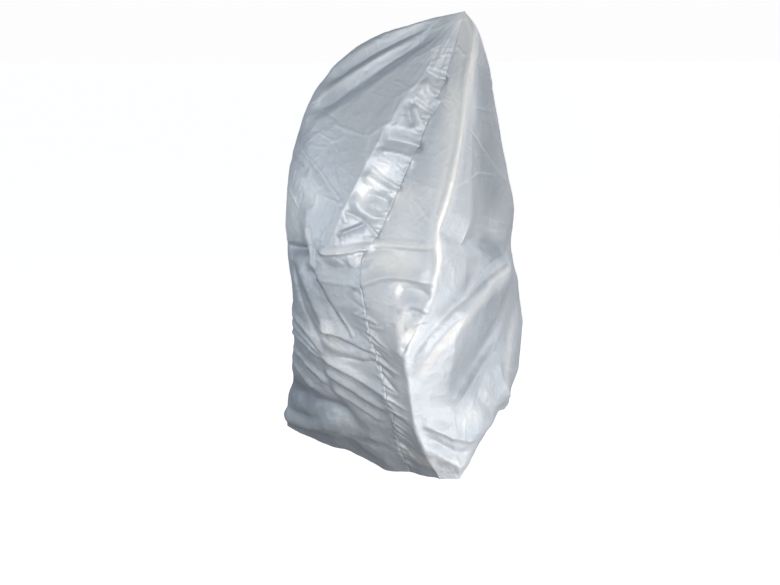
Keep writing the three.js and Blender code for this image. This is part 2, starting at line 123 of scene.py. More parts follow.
# Each row of a line is along, x, y, drop
LINES = (
    TightLine("pole", 0.8, 84, turns(
        (0.10, -161, 16, 35), (0.20, -327, 34, 94), (0.30, -460, 46, 206), (0.40, -551, 44, 372),
        (0.50, -597, 32, 539), (0.60, -610, 14, 724), (0.70, -601, 0, 893), (0.80, -608, 0, 1110),
        (0.90, -632, 0, 1330), (1.00, -670, -10, 1560))),
    TightLine("dome_edge", 0.1, 56, turns(
        (0.13, -118, -62, 170), (0.22, -206, -120, 275), (0.30, -275, -177, 381),
        (0.39, -350, -236, 513), (0.50, -428, -270, 670), (0.58, -479, -260, 793),
        (0.66, -508, -232, 945), (0.76, -524, -212, 1105), (0.86, -538, -200, 1268),
        (0.93, -548, -163, 1406), (1.00, -527, -106, 1569)), low_roundness=1.0),
    TightLine("near_seam", 0.7, 40, turns(
        (0.12, -54, -64, 180), (0.25, -133, -140, 364), (0.37, -216, -204, 539),
        (0.45, -271, -244, 653), (0.51, -327, -281, 725), (0.57, -325, -335, 805),
        (0.64, -302, -370, 930), (0.72, -268, -400, 1046), (0.79, -241, -420, 1155),
        (0.87, -214, -400, 1300), (0.93, -199, -370, 1397), (1.00, -167, -330, 1536))),
    TightLine("near_rim", 0.1, 30, turns(
        (0.055, 21, -50, 72), (0.145, 1, -120, 198), (0.275, -25, -230, 384),
        (0.36, -57, -300, 504), (0.44, -91, -360, 620), (0.50, -90, -390, 708),
        (0.57, -119, -420, 827), (0.625, -154, -440, 900), (0.67, -184, -455, 963),
        (0.75, -175, -462, 1093), (0.86, -147, -458, 1265), (0.93, -109, -462, 1360),
        (1.00, -65, -455, 1465))),
    TightLine("lip", 0.2, 60, turns(
        (0.05, 34, -22, 50), (0.18, 26, -90, 257), (0.34, 19, -192, 494), (0.45, 19, -262, 654),
        (0.52, 8, -290, 752), (0.60, -1, -325, 859), (0.68, -29, -370, 987),
        (0.76, -36, -372, 1132), (0.87, -28, -425, 1282), (1.00, 8, -445, 1461))),
    TightLine("pocket", 1.0, 48, turns(
        (0.05, 40, 8, 52), (0.12, 50, 20, 145), (0.24, 74, 30, 329), (0.37, 88, 40, 532),
        (0.49, 104, 40, 714), (0.55, 122, 0, 800), (0.61, 158, -90, 890),
        (0.68, 179, -72, 1041), (0.735, 178, -75, 1136), (0.80, 160, -160, 1195),
        (0.87, 129, -250, 1279), (0.94, 108, -306, 1360), (1.00, 89, -316, 1427))),
    TightLine("far_rim", 0.1, 14, turns(
        (0.04, 39, 30, 39), (0.09, 81, 60, 118), (0.22, 145, 140, 314), (0.37, 216, 220, 541),
        (0.48, 264, 260, 708), (0.58, 264, 258, 862), (0.68, 298, 208, 1030),
        (0.77, 314, 150, 1170), (0.85, 308, 112, 1286), (0.91, 288, 66, 1351),
        (0.96, 258, 18, 1407), (1.00, 234, -30, 1467))),
    TightLine("far_flank", 0.8, 22, turns(
        (0.08, 38, 52, 98), (0.22, 70, 185, 306), (0.37, 112, 292, 538), (0.50, 140, 352, 740),
        (0.62, 170, 370, 930), (0.75, 184, 352, 1135), (0.88, 180, 330, 1345),
        (1.00, 142, 290, 1515))),
    TightLine("far_seam", 0.6, 30, turns(
        (0.10, -24, 72, 138), (0.22, -54, 170, 308), (0.37, -92, 292, 534),
        (0.50, -112, 382, 738), (0.62, -108, 424, 935), (0.75, -96, 436, 1140),
        (0.88, -88, 418, 1345), (1.00, -92, 372, 1528))),
    TightLine("far_dome_edge", 0.4, 44, turns(
        (0.12, -118, 46, 142), (0.24, -230, 112, 292), (0.37, -326, 196, 486),
        (0.50, -392, 266, 690), (0.62, -428, 290, 890), (0.75, -444, 282, 1108),
        (0.88, -458, 262, 1330), (1.00, -452, 236, 1522))),
)

# Each row is a name, then x1, drop1, x2, drop2, bow, reach above, reach below, rise, crispness, lean.
# On a fold that runs down, above is its left side and below its right.
FOLDS = {
    Side.NEAR: (
        Fold("dome_trough_high", -110, 42, -446, 208, -14, 24, 30, -22, 0.2),
        Fold("dome_roll", -120, 50, -470, 250, -4, 22, 20, 3, 0.3),
        Fold("dome_trough_low", -90, 54, -484, 298, -4, 26, 40, -25, 0.2),
        Fold("strip_tuck_1", -116, 172, -50, 198, 0, 12, 34, -16, 0.6),
        Fold("strip_lobe_1", -128, 205, -88, 270, 0, 24, 24, 11, 0.2),
        Fold("strip_tuck_2", -176, 262, -163, 334, 0, 16, 28, -15, 0.5),
        Fold("strip_lobe_2", -163, 275, -131, 336, 0, 18, 22, 11, 0.2),
        Fold("strip_tuck_2_side", -160, 260, -100, 296, 0, 12, 22, -11, 0.7),
        Fold("strip_tuck_3", -252, 366, -134, 396, -4, 40, 28, -26, 0.2),
        Fold("strip_lobe_3", -272, 404, -158, 436, -4, 16, 40, 14, 0.2),
        Fold("strip_tuck_4", -292, 452, -200, 518, 8, 12, 22, -15, 0.7),
        Fold("strip_lobe_4", -318, 470, -226, 528, 4, 28, 26, 10, 0.1),
        Fold("strip_tuck_5", -308, 528, -228, 566, -6, 16, 38, -19, 0.3),
        Fold("strip_lobe_5", -352, 540, -256, 612, 18, 32, 26, 17, 0.1),
        Fold("strip_tuck_6", -380, 580, -314, 606, 0, 14, 20, -9, 0.6),
        Fold("waist_pleat", -397, 648, -314, 620, 0, 10, 30, 10, 0.9),
        Fold("waist_pleat_end", -312, 614, -272, 668, 0, 10, 18, -9, 0.8),
        Fold("edge_notch", -580, 460, -510, 490, -4, 30, 34, -7, 0.4),
        Fold("edge_pull", -555, 410, -410, 530, -10, 30, 34, -5, 0.6),
        Fold("lap_lobe", -500, 585, -504, 700, 0, 50, 44, 8, 0.1),
        Fold("lap_fold", -497, 640, -489, 780, 0, 13, 42, 12, 0.3, -7),
        Fold("pole_tuck", -600, 762, -502, 722, -4, 20, 46, -28, 0.5),
        Fold("waist_roll", -465, 712, -290, 698, 0, 28, 16, 15, 0.6, 6),
        Fold("waist_line", -330, 700, -110, 664, 0, 24, 12, 9, 0.8, 3),
        Fold("waist_slit", -345, 706, -215, 686, -2, 12, 22, -9, 0.6),
        Fold("waist_hollow", -450, 752, -320, 748, 6, 30, 36, -8, 0.2),
        Fold("oval_tuck", -375, 730, -285, 740, 20, 26, 26, 8, 0.4),
        Fold("belly_lap", -348, 810, -112, 762, -22, 60, 15, 19, 0.7, 9),
        Fold("belly_lap_left", -472, 805, -320, 800, 2, 16, 14, 3, 0.6),
        Fold("belly_soft", -215, 770, -205, 1010, 0, 46, 34, 5, 0.3),
        Fold("chin_hollow", -210, 800, -115, 800, -16, 20, 40, -14, 0.5),
        Fold("chin_fold", -205, 855, -120, 845, -18, 24, 18, 10, 0.7, 5),
        Fold("chin_pleat", -185, 905, -120, 880, -10, 20, 16, 8, 0.8, 3),
        Fold("ridge_valley", -195, 975, -130, 875, -4, 26, 20, -14, 0.8),
        Fold("pole_roll", -540, 775, -425, 1000, 4, 36, 34, 15, 0.2),
        Fold("pole_roll_right", -492, 776, -366, 970, 6, 14, 26, -11, 0.8),
        Fold("pole_roll_left", -580, 796, -464, 1037, 16, 22, 16, -7, 0.6),
        Fold("long_pleat", -398, 905, -352, 972, 0, 12, 9, 8, 0.9, 3),
        Fold("fan_high", -602, 1008, -466, 1076, -28, 26, 16, 11, 0.8, 3),
        Fold("fan_middle", -600, 1062, -474, 1082, -16, 16, 14, 8, 0.9, 2),
        Fold("fan_low", -606, 1105, -478, 1096, -20, 20, 16, 9, 0.8, 2),
        Fold("step_fold", -482, 972, -288, 1004, -6, 46, 15, 14, 0.9, 6),
        Fold("step_facet", -466, 1030, -292, 1034, 4, 34, 26, 8, 0.2),
        Fold("facet_line", -412, 1066, -262, 1036, 0, 10, 18, -7, 0.9),
        Fold("long_sweep", -470, 1090, -240, 1152, -8, 30, 13, 14, 0.9, 4),
        Fold("second_sweep", -462, 1136, -250, 1216, -4, 26, 15, 11, 0.9, 3),
        Fold("third_sweep", -440, 1196, -262, 1270, -4, 26, 18, 8, 0.7, 2),
        Fold("low_curve", -466, 1116, -392, 1266, 16, 22, 28, -8, 0.4),
        Fold("flank_fan_1", -604, 1165, -452, 1186, -18, 22, 18, 8, 0.7, 2),
        Fold("flank_fan_2", -610, 1225, -440, 1262, -20, 24, 20, 8, 0.6, 2),
        Fold("belly_under", -630, 1372, -360, 1312, -40, 84, 66, -36, 0.1),
        Fold("corner_roll", -668, 1520, -430, 1350, 12, 44, 50, 28, 0.2),
        Fold("hem_belly", -490, 1450, -270, 1350, 0, 60, 50, 11, 0.2),
        Fold("pocket_floor", -80, 605, 185, 820, 2, 70, 40, -26, 0.3),
        Fold("mouth_ridge", 225, 890, -165, 1020, -86, 50, 100, 26, 0.6, 4),
        Fold("mouth_crease", 215, 876, -172, 1000, -88, 24, 11, -9, 0.9),
        Fold("facet_floor", 190, 1060, -10, 1195, -8, 90, 26, -12, 0.4),
        Fold("facet_edge_right", 172, 1100, 2, 1212, -6, 11, 14, 7, 0.9),
        Fold("facet_edge_low", 140, 1120, 35, 1250, -10, 22, 28, 9, 0.8),
        Fold("facet_crease_low", -105, 1165, -10, 1200, -6, 18, 26, -6, 0.7),
        Fold("rim_knuckle", 140, 1135, 255, 1500, -6, 38, 30, 13, 0.8),
        Fold("rim_pinch", 75, 1230, 225, 1480, -10, 24, 38, -13, 0.6),
        Fold("hem_swag", -120, 1245, 60, 1360, -2, 44, 20, 11, 0.6, 4),
        Fold("hem_hollow", -110, 1290, 40, 1390, 4, 22, 40, -9, 0.3),
        Fold("hem_swag_low", -110, 1320, 30, 1430, 6, 30, 36, 8, 0.4),
    ),
    Side.FAR: (
        Fold("far_dome_trough", -110, 70, -440, 350, -24, 44, 44, -16),
        Fold("far_dome_roll", -70, 96, -330, 440, -12, 40, 46, 11),
        Fold("far_seam_pull", 10, 250, -210, 470, 14, 40, 40, -12, 0.3),
        Fold("far_mouth_pleat", 110, 280, 20, 660, 0, 46, 40, 13),
        Fold("far_waist_roll", -520, 742, 190, 712, 26, 66, 30, 18, 0.3),
        Fold("far_waist_hollow", -480, 806, 150, 776, 26, 30, 52, -14),
        Fold("far_sweep_1", -560, 905, -60, 1085, 30, 56, 34, 16, 0.3),
        Fold("far_sweep_2", -600, 1050, -90, 1235, 34, 50, 36, 15, 0.3),
        Fold("far_sweep_3", -560, 1190, -160, 1340, 20, 44, 48, 10, 0.2),
        Fold("far_flank_ridge", 250, 960, -30, 1200, 10, 52, 60, 18, 0.3),
        Fold("far_flank_hollow", 230, 1120, 20, 1330, 0, 44, 50, -13),
        Fold("far_hem_swag", -420, 1420, 60, 1440, 30, 44, 36, 13, 0.2),
    ),
}

# Thin creases of the same kind, which only the finished cloth shows
CREASES = {
    Side.NEAR: (
        Fold("star_up", -305, 365, -300, 285, 0, 9, 9, 2.0, 1.0),
        Fold("star_left", -305, 365, -415, 335, 2, 9, 9, 2.2, 1.0),
        Fold("star_right", -305, 365, -235, 322, 0, 10, 10, 2.6, 1.0),
        Fold("star_down", -305, 365, -312, 445, 3, 10, 10, 2.2, 1.0),
        Fold("dome_mark_1", -465, 365, -415, 385, 0, 8, 8, 2.2, 1.0),
        Fold("dome_mark_2", -415, 385, -375, 365, 0, 8, 8, 2.2, 1.0),
        Fold("dome_mark_3", -510, 405, -440, 405, 0, 8, 8, 1.8, 1.0),
        Fold("dome_mark_4", -415, 450, -400, 505, 0, 9, 9, 2.0, 1.0),
        Fold("dome_top_mark", -290, 90, -230, 60, 0, 8, 8, 1.6, 1.0),
        Fold("dome_ripple", -200, 245, -145, 210, 0, 10, 10, 2.0, 0.6),
        Fold("edge_line", -555, 410, -415, 530, -10, 9, 9, 2.8, 1.0),
        Fold("edge_line_fork", -455, 480, -385, 555, 0, 9, 9, 2.4, 1.0),
        Fold("pull_mark_1", -515, 485, -470, 545, 0, 9, 9, 2.4, 1.0),
        Fold("pull_mark_2", -470, 545, -485, 605, 0, 9, 9, 2.2, 1.0),
        Fold("pull_mark_3", -470, 545, -380, 560, 0, 9, 9, 2.2, 1.0),
        Fold("pull_mark_4", -585, 555, -540, 610, 0, 9, 9, 2.2, 1.0),
        Fold("dome_pleat", -385, 570, -375, 615, 0, 12, 12, 5.0, 0.8),
        Fold("middle_mark_1", -25, 100, 0, 130, 0, 8, 8, 3.2, 1.0),
        Fold("middle_mark_2", -65, 435, -52, 465, 2, 8, 8, 2.4, 1.0),
        Fold("middle_mark_3", -170, 450, -165, 580, 0, 9, 9, 1.8, 1.0),
        Fold("middle_mark_4", -110, 500, -110, 590, 0, 9, 9, 1.8, 1.0),
        Fold("middle_mark_5", -160, 545, -115, 590, 0, 9, 9, 2.0, 1.0),
        Fold("mouth_mark_1", 20, 350, 235, 605, 4, 8, 8, 3.0, 1.0),
        Fold("mouth_mark_2", 20, 490, 165, 550, 2, 8, 8, 2.4, 1.0),
        Fold("mouth_mark_3", 25, 630, 235, 755, 6, 8, 8, 2.8, 1.0),
        Fold("mouth_mark_4", 30, 660, 240, 790, 6, 8, 8, 2.2, 1.0),
        Fold("mouth_mark_5", -45, 500, 10, 495, 0, 8, 8, 2.2, 1.0),
        Fold("mouth_mark_6", -50, 520, 5, 550, 0, 8, 8, 2.0, 1.0),
        Fold("mouth_mark_7", 45, 435, 80, 515, 0, 8, 8, 2.4, 1.0),
        Fold("mouth_mark_8", 30, 285, 120, 315, 0, 8, 8, 1.6, 1.0),
        Fold("scratch_1", -350, 895, -310, 875, 0, 8, 8, 2.4, 1.0),
        Fold("scratch_2", -310, 925, -255, 920, 0, 8, 8, 2.8, 1.0),
        Fold("lit_mark_1", -75, 710, 20, 665, 2, 8, 8, 2.6, 1.0),
        Fold("lit_mark_2", -85, 725, -75, 770, 0, 8, 8, 2.0, 1.0),
        Fold("lit_mark_3", -35, 730, -40, 795, 0, 8, 8, 2.2, 1.0),
        Fold("lit_mark_4", 40, 745, 25, 800, 0, 8, 8, 2.2, 1.0),
        Fold("facet_mark", 185, 1020, 70, 975, 0, 9, 9, 2.0, 1.0),
        Fold("band_mark", 190, 846, -148, 984, -78, 9, 9, 3.0, 1.0),
        Fold("facet_line_right", 160, 1085, -8, 1190, -6, 9, 9, 2.6, 1.0),
        Fold("hem_mark_1", -25, 1225, -15, 1310, 0, 9, 9, 3.4, 1.0),
        Fold("hem_mark_2", 20, 1255, 10, 1330, 0, 9, 9, 3.4, 1.0),
        Fold("rim_mark", 140, 1140, 285, 1335, 0, 9, 9, 3.0, 1.0),
    ),
    Side.FAR: (),
}

# Soft patches in rows of the same kind. A patch's rise is how much paler the cloth is painted there, and a
# rise below 0 is how much darker. On the near side they are painted light and painted shade, set where the
# folds catch or lose the light. On the far side they only make broad regions paler or darker.
PAINTED_LIGHT_PATCHES = {
    Side.NEAR: (
        Fold("strip_top_painted_light", -50, 90, -150, 330, 0, 44, 44, 0.16),
        Fold("dome_left_painted_shade", -540, 360, -490, 460, 0, 60, 60, -0.20),
        Fold("middle_painted_light", -175, 500, -240, 760, 0, 110, 130, 0.28),
        Fold("middle_top_painted_light", -30, 200, -110, 560, 0, 50, 60, 0.26),
        Fold("ridge_top_painted_highlight", 28, 110, 34, 330, 0, 26, 26, 0.26),
        Fold("waist_painted_light", -370, 745, -120, 715, 0, 60, 66, 0.20),
        Fold("chin_painted_light", -215, 790, -165, 940, 0, 56, 38, 0.22),
        Fold("ridge_painted_light", -262, 820, -190, 960, 0, 70, 60, 0.25),
        Fold("strip_low_painted_light", -345, 560, -245, 440, 0, 40, 50, 0.50, -0.2),
        Fold("waist_facet_painted_shade", -395, 640, -310, 628, 0, 20, 34, -0.42, -0.3),
        Fold("lap_painted_light", -497, 620, -490, 770, 0, 14, 44, 0.16, -0.3),
        Fold("lap_left_painted_light", -560, 560, -548, 700, 0, 60, 60, 0.26),
        Fold("dome_low_painted_light", -530, 500, -450, 580, 0, 60, 70, 0.26),
        Fold("tuck_painted_shade", -598, 782, -512, 730, 0, 12, 22, -0.45, -0.3),
        Fold("waist_roll_painted_highlight", -462, 708, -120, 662, 0, 14, 12, 0.36),
        Fold("waist_painted_shade", -450, 745, -345, 748, 0, 34, 46, -0.26),
        Fold("lap_under_painted_light", -250, 800, -130, 790, -22, 6, 46, 0.24),
        Fold("mouth_painted_shade", 75, 150, 150, 700, 0, 100, 70, -0.34, -0.3),
        Fold("pocket_painted_shade", 100, 775, 220, 852, 0, 54, 50, -0.50, -0.5),
        Fold("fan_painted_shade", 30, 785, -90, 885, 0, 44, 28, -0.36),
        Fold("band_painted_highlight", 205, 862, -150, 1055, -64, 34, 66, 0.40, -0.8),
        Fold("facet_painted_shade", 150, 890, -25, 1190, -4, 112, 118, -0.46, -1.0),
        Fold("flank_painted_light", 262, 1080, 190, 1310, 0, 40, 40, 0.32),
        Fold("hem_painted_light", -20, 1250, 110, 1290, 0, 60, 70, 0.20),
        Fold("hem_left_painted_light", -210, 1390, -90, 1400, 0, 50, 50, 0.46),
        Fold("hem_right_painted_light", -30, 1380, 40, 1430, 0, 60, 70, 0.22),
        Fold("under_painted_shade", -640, 1400, -420, 1350, -20, 90, 100, -0.34, 0.1),
        Fold("corner_painted_shade", -640, 1300, -570, 1420, 0, 60, 90, -0.34),
        Fold("left_painted_shade", -570, 800, -500, 900, 0, 60, 40, -0.20),
        Fold("pole_roll_painted_shade", -512, 770, -440, 890, 0, 34, 40, -0.36),
        Fold("belly_painted_light", -480, 960, -330, 1130, 0, 120, 120, 0.40),
        Fold("belly_low_painted_light", -430, 1200, -300, 1290, 0, 90, 90, 0.24),
        Fold("edge_painted_light", -600, 500, -605, 760, 0, 50, 50, 0.35),
        Fold("dome_painted_shade_high", -80, 34, -446, 208, -14, 26, 30, -0.30),
        Fold("dome_painted_shade_low", -90, 62, -484, 298, -4, 26, 36, -0.30),
    ),
    Side.FAR: (
        Fold("far_middle_darker", -300, 560, -120, 760, 0, 150, 150, -0.20),
        Fold("far_low_paler", -420, 980, -60, 1160, 0, 110, 110, 0.16),
        Fold("far_hem_darker", -560, 1420, -100, 1470, 0, 110, 110, -0.25),
        Fold("far_rim_paler", 230, 560, 150, 1200, 0, 80, 80, 0.18),
    ),
}


def mix(start: np.ndarray | float, end: np.ndarray | float, t: np.ndarray | float) -> np.ndarray | float:
    """A value part of the way from start to end."""
    return start + (end - start) * t


def ease(low: float, high: float, value: np.ndarray | float) -> np.ndarray:
    """A smooth step from 0 at low to 1 at high.

    Args:
        low: The value where the step starts.
        high: The value where the step ends.
        value: Where the step is read.

    Returns:
        The step's height, between 0 and 1.
    """
    t = np.clip((np.asarray(value, float) - low) / (high - low), 0.0, 1.0)
    return t * t * (3.0 - 2.0 * t)


def unit(vectors: np.ndarray) -> np.ndarray:
    """The vectors at length one."""
    length = np.linalg.norm(vectors, axis=-1, keepdims=True)
    return vectors / np.maximum(length, 1e-9)


def net_normals(net: np.ndarray) -> np.ndarray:
    """Outward directions of a net whose columns close on themselves.

    Args:
        net: Points by row and column, in millimetres.

    Returns:
        One unit vector for each point.
    """
    above = np.concatenate((net[:1], net[:-1]))
    below = np.concatenate((net[1:], net[-1:]))
    left = np.roll(net, 1, axis=1)
    right = np.roll(net, -1, axis=1)
    return unit(np.cross(above - below, left - right))


@dataclass
class DrapedForm:
    """The form in which the cloth hangs, as a net of points round the cover."""

    rows: int = 446
    hem_rows: int = 7
    tip_round_end: float = 0.09
    belly_from: tuple[float, float] = (0.56, 0.68)
    side_fade: float = 14.0
    hem_turn_from: float = 0.94
    hem_turn_depth: float = 7.0
    hem_swag_from: float = 0.8
    hem_swags: dict[Side, tuple[tuple[float, float, float], ...]] = field(default_factory=lambda: {
        Side.NEAR: ((-255, 110, 24), (-395, 70, -12), (20, 90, 10), (195, 50, -16)),
        Side.FAR: ((-300, 120, 20), (-60, 90, -16), (130, 90, 14)),
    })

    def line_points(self, line: TightLine, alongs: np.ndarray) -> np.ndarray:
        """Points of a smooth curve through a line's turns.

        Args:
            line: The tight line.
            alongs: How far along it each point is.

        Returns:
            Points in millimetres, one for each place asked for.
        """
        rows = (PEAK, *line.turns)
        places = np.array([row.along for row in rows])
        points = np.array([(row.x, row.y, -row.drop) for row in rows])
        spans = np.diff(places)
        slopes = np.diff(points, axis=0) / spans[:, None]
        inner = (slopes[:-1] * spans[1:, None] + slopes[1:] * spans[:-1, None])
        inner /= (spans[:-1] + spans[1:])[:, None]
        slopes_at = np.concatenate((slopes[:1], inner, slopes[-1:]))
        index = np.clip(np.searchsorted(places, alongs, "left") - 1, 0, len(spans) - 1)
        span = spans[index][:, None]
        t = ((alongs - places[index]) / spans[index])[:, None]
        return (points[index] * (1 + 2 * t) * (1 - t) ** 2 + points[index + 1] * t * t * (3 - 2 * t)
                + slopes_at[index] * span * t * (1 - t) ** 2
                - slopes_at[index + 1] * span * t * t * (1 - t))

    def base_net(self, alongs: np.ndarray) -> np.ndarray:
        """The cover's plain form before its folds.

        Args:
            alongs: How far down the cover each row is.

        Returns:
            Points by row and column, in millimetres.
        """
        corners = np.array([self.line_points(line, alongs) for line in LINES])
        chords = np.roll(corners, -1, axis=0) - corners
        lengths = np.maximum(np.linalg.norm(chords, axis=2, keepdims=True), 1e-6)
        before = np.roll(lengths, 1, axis=0)
        tangents = (np.roll(chords, 1, axis=0) * (lengths / before) + chords * (before / lengths))
        tangents /= before + lengths
        sharpness = ease(0, self.tip_round_end, alongs)[None, :, None]
        high = np.array([line.roundness for line in LINES])[:, None, None]
        low = np.array([line.roundness if line.low_roundness is None else line.low_roundness
                        for line in LINES])[:, None, None]
        belly = ease(*self.belly_from, alongs)[None, :, None]
        roundness = 1 + (high + (low - high) * belly - 1) * sharpness
        pieces = []
        for k, line in enumerate(LINES):
            after = (k + 1) % len(LINES)
            out = tangents[k] * lengths[k] * roundness[k] + chords[k] * (1 - roundness[k])
            into = tangents[after] * lengths[k] * roundness[after] + chords[k] * (1 - roundness[after])
            t = (np.arange(line.columns) / line.columns)[None, :, None]
            pieces.append(corners[k][:, None] * (1 + 2 * t) * (1 - t) ** 2
                          + corners[after][:, None] * t * t * (3 - 2 * t)
                          + out[:, None] * t * (1 - t) ** 2 - into[:, None] * t * t * (1 - t))
        return np.concatenate(pieces, axis=1)

    def column_of(self, name: str) -> int:
        """The column that a tight line runs down."""
        column = 0
        for line in LINES:
            if line.name == name:
                return column
            column += line.columns
        raise ValueError(f"no line called {name}")

    def columns(self) -> int:
        """How many columns the net has."""
        return sum(line.columns for line in LINES)

    def nearness(self) -> np.ndarray:
        """How much each column belongs to the near side, 1 there and 0 on the far side."""
        column = np.arange(self.columns())
        past = np.minimum(np.maximum(0, column - self.column_of("far_rim")), self.columns() - column)
        return 1 - ease(0, self.side_fade, past)

    @staticmethod
    def fold_share(fold: Fold, x: np.ndarray, drop: np.ndarray) -> np.ndarray:
        """How much of a fold's rise each point has.

        Args:
            fold: The fold.
            x: Where each point is seen across the cover.
            drop: How far below the peak each point is.

        Returns:
            The share at each point, 1 on the fold's crest.
        """
        run_x = fold.x2 - fold.x1
        run_drop = fold.drop2 - fold.drop1
        length = math.hypot(run_x, run_drop)
        flip = -1.0 if run_x < 0 else 1.0
        s = ((x - fold.x1) * run_x + (drop - fold.drop1) * run_drop) / length**2
        across = flip * ((drop - fold.drop1) * run_x - (x - fold.x1) * run_drop) / length
        off = across - 4 * fold.bow * s * (1 - s)
        away = np.abs(off) / np.where(off > 0, fold.below, fold.above)
        inside = (away < 1) & (s > FADE_IN[0]) & (s < FADE_OUT[1])
        away = np.clip(away, 0, 1)
        start = 1.0 - ease(*OPEN_FADE, s) if fold.open_start else ease(*FADE_IN, s)
        ends = start * (1 - ease(*FADE_OUT, s))
        soft = (1 - away) ** 2 * (1 + 2 * away)
        sharp = (1 - away) ** 2
        return np.where(inside, ends * mix(soft, sharp, fold.crisp), 0.0)

    def lifts(self, net: np.ndarray, folds: dict[Side, tuple[Fold, ...]]) -> np.ndarray:
        """The lift of a table of folds over the whole net, in millimetres."""
        near = self.nearness()[None, :]
        x = net[..., 0]
        drop = -net[..., 2]
        lift = np.zeros(x.shape)
        for side, share in ((Side.NEAR, near), (Side.FAR, 1 - near)):
            for fold in folds[side]:
                lift += share * fold.rise * self.fold_share(fold, x, drop)
        return lift

    def leans(self, net: np.ndarray, folds: dict[Side, tuple[Fold, ...]]) -> np.ndarray:
        """How far a table's folds hang over sideways, in millimetres.

        Args:
            net: Points by row and column, in millimetres.
            folds: The folds by side.

        Returns:
            The shift of each point.
        """
        near = self.nearness()[None, :]
        shift = np.zeros(net.shape)
        for side, share in ((Side.NEAR, near), (Side.FAR, 1 - near)):
            for fold in folds[side]:
                if fold.lean:
                    run = unit(np.array([fold.x2 - fold.x1, fold.drop2 - fold.drop1]))
                    flip = -1.0 if run[0] < 0 else 1.0
                    below = flip * np.array([-run[1], 0.0, -run[0]])
                    hang = share * fold.lean * self.fold_share(fold, net[..., 0], -net[..., 2]) ** 2
                    shift += hang[..., None] * below
        return shift


